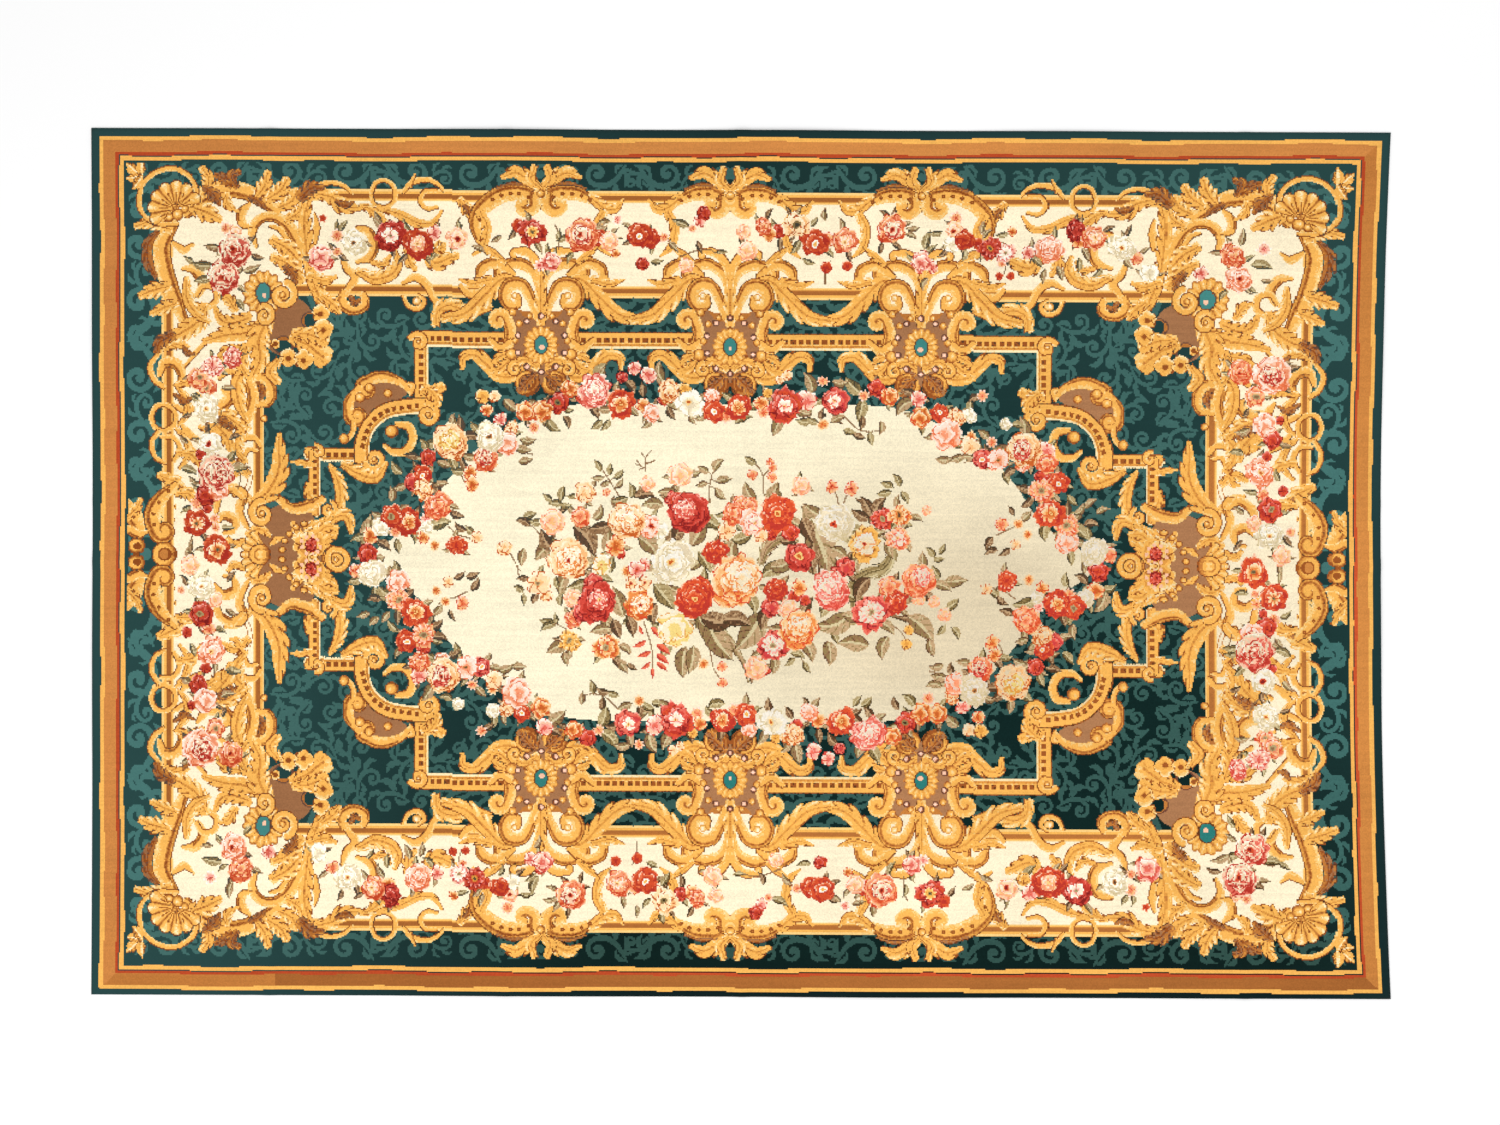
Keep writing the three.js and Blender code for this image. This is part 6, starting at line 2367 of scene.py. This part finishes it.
@dataclass(frozen=True)
class Ageing:
    """The group that gives each stitch its own shade, and the cloth its dye changes, soil and a teal
    lightened with the distance from one place.

    Places are on the loom map, counted in faces from the front left corner.
    """

    name: str = "ageing"
    stitches: int = 4
    band: Triple = (0.05, 1.3, 1.0)
    patch_scale: float = 0.06
    shares: tuple[float, ...] = (0.5, 0.9, 0.6, 0.7)
    mean_shade: float = 1.35
    soil: Colour = (0.50, 0.42, 0.30, 1.0)
    field_shape: Triple = (0.6, 1.0, 0.0)
    greyed_place: Triple = (110.5, 76.0, 0.0)
    greyed_reach: float = 40.0
    grey: Colour = (0.76, 0.71, 0.67, 1.0)
    darkest_teal_place: Triple = (179.0, 6.0, 0.0)
    middle: float = 135.0
    lightened_teal: Colour = (0.18, 0.51, 0.50, 1.0)

    def build(self) -> bpy.types.NodeTree:
        """Makes the group: a lightness for each stitch, then soil, a greyed end and teal lightened away
        from one place.

        Returns:
            The group.
        """
        takes = {"Colour": "Color", "Loom": "Vector"}
        takes |= {name: "Float" for name in ("Stitch shade", "Soil", "Greyed end", "Teal lightening")}
        nodes, takes, gives = new_group(self.name, takes, {"Colour": "Color"})
        patches = nodes.noise("broad patches", takes["Loom"], self.patch_scale, 3.0)
        tone = nodes.add("HueSaturation", "stitch shade")
        nodes.join(takes["Colour"], tone.inputs["Color"])
        nodes.join(self.shade(nodes, takes, patches), tone.inputs["Value"])
        dirt = nodes.sum("MULTIPLY", patches, takes["Soil"])
        dusty = nodes.tinted("soiled wool", tone.outputs[0], self.soil)
        soiled = nodes.blend("RGBA", dirt, tone.outputs[0], dusty, "soil")
        greyer = nodes.tinted("greyed wool", soiled, self.grey)
        worn = nodes.blend("RGBA", self.greyed(nodes, takes), soiled, greyer, "greyed end")
        # teal made lighter with the distance from a place on the lower edge, right of the middle
        lightened_teal = nodes.blend("RGBA", self.teal_lightening_share(nodes, takes), worn, self.lightened_teal, "lightened teal wool")
        nodes.join(lightened_teal, gives["Colour"])
        return nodes.tree

    def shade(self, nodes: Nodes, takes: object, patches: bpy.types.NodeSocket) -> bpy.types.NodeSocket:
        """Adds up the stitch's chance shade, its fibres, the dye's bands along the weft and the patches.

        Args:
            nodes: The group's nodes.
            takes: The group's inputs.
            patches: The value of the broad patches.

        Returns:
            What the wool's lightness is multiplied by, about 1.
        """
        stitch = nodes.vector("stitches", "SCALE", takes["Loom"], float(self.stitches))
        speck = nodes.add("TexWhiteNoise", "each stitch", noise_dimensions="2D")
        nodes.join(nodes.vector("whole stitch", "FLOOR", stitch), speck.inputs["Vector"])
        fibre = nodes.noise("fibres", stitch, 1.9, 3.0)
        dye = nodes.noise("dye bands", nodes.vector("long bands", "MULTIPLY", takes["Loom"], self.band),
                          1.0, 2.0)
        shade = 0.0
        for value, share in zip((speck.outputs["Value"], fibre, dye, patches), self.shares):
            shade = nodes.sum("MULTIPLY_ADD", value, share, shade)
        return nodes.sum("MULTIPLY_ADD", nodes.sum("SUBTRACT", shade, self.mean_shade),
                         takes["Stitch shade"], 1.0)

    def greyed(self, nodes: Nodes, takes: object) -> bpy.types.NodeSocket:
        """Finds how grey the pale wool is: most at one end of the field, less with the distance from it.

        Args:
            nodes: The group's nodes.
            takes: The group's inputs.

        Returns:
            How much of the greyed wool shows.
        """
        squashed = nodes.vector("field shape", "MULTIPLY", takes["Loom"], self.field_shape)
        away = nodes.vector("from the greyed end", "DISTANCE", squashed, self.greyed_place)
        near = nodes.sum("MULTIPLY_ADD", away, -1 / self.greyed_reach, 1.2)
        bright = nodes.add("RGBToBW", "how pale the wool is")
        nodes.join(takes["Colour"], bright.inputs[0])
        pale = nodes.sum("MULTIPLY_ADD", bright.outputs[0], 3.0, -1.5)
        return nodes.sum("MULTIPLY", near, nodes.sum("MULTIPLY", pale, takes["Greyed end"]))

    def teal_lightening_share(self, nodes: Nodes, takes: object) -> bpy.types.NodeSocket:
        """Finds how much the teal wool is lightened: more with the distance from a place on the rug's lower
        edge, right of its middle.

        Args:
            nodes: The group's nodes.
            takes: The group's inputs.

        Returns:
            How much of the lighter teal shows, least in the middle of the rug and where the wool is red.
        """
        far = nodes.vector("from the darkest teal place", "DISTANCE", takes["Loom"], self.darkest_teal_place)
        spread = nodes.sum("MINIMUM", nodes.sum("MULTIPLY_ADD", far, 0.0113, -0.78), 1.0)
        along = nodes.split("XYZ", takes["Loom"])[0]
        out = nodes.sum("ABSOLUTE", nodes.sum("SUBTRACT", along, self.middle))
        ends = nodes.sum("MINIMUM", nodes.sum("MULTIPLY_ADD", out, 0.0080, 0.20), 1.0)
        red, green, _ = nodes.split("Color", takes["Colour"])
        teal = nodes.sum("MAXIMUM", nodes.sum("MULTIPLY_ADD", red, -4.0, 1.0), 0.0)
        strength = nodes.sum("MULTIPLY_ADD", ends, takes["Teal lightening"], green)
        return nodes.sum("MULTIPLY", nodes.sum("MULTIPLY", nodes.sum("MAXIMUM", spread, 0.0), teal),
                         strength)


@dataclass(frozen=True)
class RibWeave:
    """The group that raises the wool over its warps: ribs across the rug, broken into stitches."""

    name: str = "rib weave"
    turns: float = 8 * math.pi
    ribs: float = -0.30
    rows: float = -0.16
    fibres: float = 0.7
    depth: float = 0.0006

    def build(self) -> bpy.types.NodeTree:
        """Makes the group: a rib wave along the rug, plus a stitch wave across it, plus fibres.

        Returns:
            The group.
        """
        nodes, takes, gives = new_group(self.name, {"Loom": "Vector", "Relief": "Float"},
                                        {"Normal": "Vector"})
        along, across, _ = nodes.split("XYZ", nodes.vector("one turn per stitch", "SCALE", takes["Loom"],
                                                           self.turns))
        height = nodes.sum("MULTIPLY_ADD", nodes.sum("COSINE", along), self.ribs, 0.5)
        height = nodes.sum("MULTIPLY_ADD", nodes.sum("COSINE", across), self.rows, height)
        height = nodes.sum("MULTIPLY_ADD", nodes.noise("fibres", takes["Loom"], 9.0, 3.0), self.fibres,
                           height)
        bump = nodes.add("Bump", "raised wool")
        for name, value in (("Distance", self.depth), ("Strength", takes["Relief"]), ("Height", height)):
            nodes.join(value, bump.inputs[name])
        nodes.join(bump.outputs[0], gives["Normal"])
        return nodes.tree


@dataclass(frozen=True)
class WoolFinish:
    """How the wool cloth looks."""

    name: str = "wool weave"
    stitch_shade: float = 0.34
    soil: float = 0.05
    relief: float = 0.8
    greyed_end: float = 1.0
    teal_lightening: float = 0.074
    roughness: float = 0.95
    specular: float = 0.05
    sheen: float = 0.04

    def build(self) -> bpy.types.Material:
        """Makes the material, with its four groups in a row.

        Returns:
            The material.
        """
        material = bpy.data.materials.new(self.name)
        material.use_nodes = True
        nodes = Nodes(material.node_tree)
        shader = material.node_tree.nodes["Principled BSDF"]
        loom = nodes.add("UVMap", "loom map", uv_map="loom").outputs[0]
        picker, shelf, ageing, weave = (
            nodes.add("Group", made.name, node_tree=made.build())
            for made in (StitchPicker(), DyeShelf(), Ageing(), RibWeave())
        )
        for source, target in (
            (loom, picker.inputs["Loom"]),
            (loom, ageing.inputs["Loom"]),
            (loom, weave.inputs["Loom"]),
            (picker.outputs[0], shelf.inputs[0]),
            (shelf.outputs[0], ageing.inputs["Colour"]),
            (self.stitch_shade, ageing.inputs["Stitch shade"]),
            (self.soil, ageing.inputs["Soil"]),
            (self.greyed_end, ageing.inputs["Greyed end"]),
            (self.teal_lightening, ageing.inputs["Teal lightening"]),
            (self.relief, weave.inputs["Relief"]),
            (ageing.outputs[0], shader.inputs["Base Color"]),
            (weave.outputs[0], shader.inputs["Normal"]),
            (self.roughness, shader.inputs["Roughness"]),
            (self.specular, shader.inputs["Specular IOR Level"]),
            (self.sheen, shader.inputs["Sheen Weight"]),
        ):
            nodes.join(source, target)
        return material


@dataclass
class Studio:
    """The pale floor, the soft lights and the camera over the rug."""

    lens: float = 50.0
    sensor: float = 36.0
    frame_width: float = 3.168
    aim: tuple[float, float] = (0.0190, 0.0021)
    floor_size: float = 40.0
    floor_drop: float = 0.0002
    floor_white: float = 0.93
    floor_roughness: float = 0.9
    daylight: float = 0.55
    key_place: Triple = (-1.6, -2.6, 5.2)
    key_size: float = 4.2
    key_watts: float = 190.0
    fill_place: Triple = (2.4, 2.2, 5.6)
    fill_size: float = 5.0
    fill_watts: float = 120.0

    def build(self) -> None:
        """Sets up the whole studio."""
        self.floor()
        self.light("key", self.key_place, self.key_size, self.key_watts)
        self.light("fill", self.fill_place, self.fill_size, self.fill_watts)
        self.world()
        self.camera()

    def place(self, name: str, data: bpy.types.ID) -> bpy.types.Object:
        """Puts a thing into the scene.

        Args:
            name: What it is called.
            data: Its mesh, light or camera.

        Returns:
            The object that holds it.
        """
        holder = bpy.data.objects.new(name, data)
        bpy.context.scene.collection.objects.link(holder)
        return holder

    def floor(self) -> None:
        """Lays the plain pale floor, just under the rug."""
        half = self.floor_size / 2
        mesh = bpy.data.meshes.new("floor")
        corners = [(x * half, y * half, -self.floor_drop) for x, y in ((-1, -1), (1, -1), (1, 1), (-1, 1))]
        mesh.from_pydata(corners, [], [(0, 1, 2, 3)])
        material = bpy.data.materials.new("pale floor")
        material.use_nodes = True
        shader = material.node_tree.nodes["Principled BSDF"]
        shader.inputs["Base Color"].default_value = (*[self.floor_white] * 3, 1.0)
        shader.inputs["Roughness"].default_value = self.floor_roughness
        shader.inputs["Specular IOR Level"].default_value = 0.0
        mesh.materials.append(material)
        self.place("floor", mesh)

    def light(self, name: str, place: Triple, size: float, watts: float) -> None:
        """Hangs a square soft light that faces the rug's middle.

        Args:
            name: What it is called.
            place: Where it hangs, in metres.
            size: Its side, in metres.
            watts: Its power.
        """
        lamp = bpy.data.lights.new(name, "AREA")
        lamp.size = size
        lamp.energy = watts
        holder = self.place(name, lamp)
        holder.location = place
        holder.rotation_euler = (-Vector(place)).to_track_quat("-Z", "Y").to_euler()

    def world(self) -> None:
        """Fills the room with even white light."""
        world = bpy.data.worlds.new("studio")
        world.use_nodes = True
        backdrop = world.node_tree.nodes["Background"]
        backdrop.inputs["Color"].default_value = (1.0, 1.0, 1.0, 1.0)
        backdrop.inputs["Strength"].default_value = self.daylight
        bpy.context.scene.world = world

    def camera(self) -> None:
        """Hangs the camera straight over the rug, looking down."""
        lens = bpy.data.cameras.new("camera")
        lens.lens = self.lens
        lens.sensor_width = self.sensor
        lens.sensor_fit = "HORIZONTAL"
        lens.clip_end = 100.0
        camera = self.place("camera", lens)
        camera.location = (*self.aim, self.frame_width * self.lens / self.sensor)
        bpy.context.scene.camera = camera
        bpy.context.scene.view_settings.view_transform = "Standard"


def main() -> None:
    """Builds the rug and its studio, and reports each."""
    logging.basicConfig(level=logging.INFO, format="%(name)s: %(message)s")
    yarn = Design().woven()
    log.info("cartoon: %d by %d stitches, %d yarns", *yarn.shape[::-1], len(np.unique(yarn)))
    panel = WovenPanel()
    piece = panel.build(yarn, WoolFinish().build())
    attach(piece, "root")
    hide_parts("rug")
    log.info("woven panel: %d faces", len(piece.data.polygons))
    Studio().build()
    log.info("studio: floor, lights and camera")


if __name__ == "__main__":
    main()
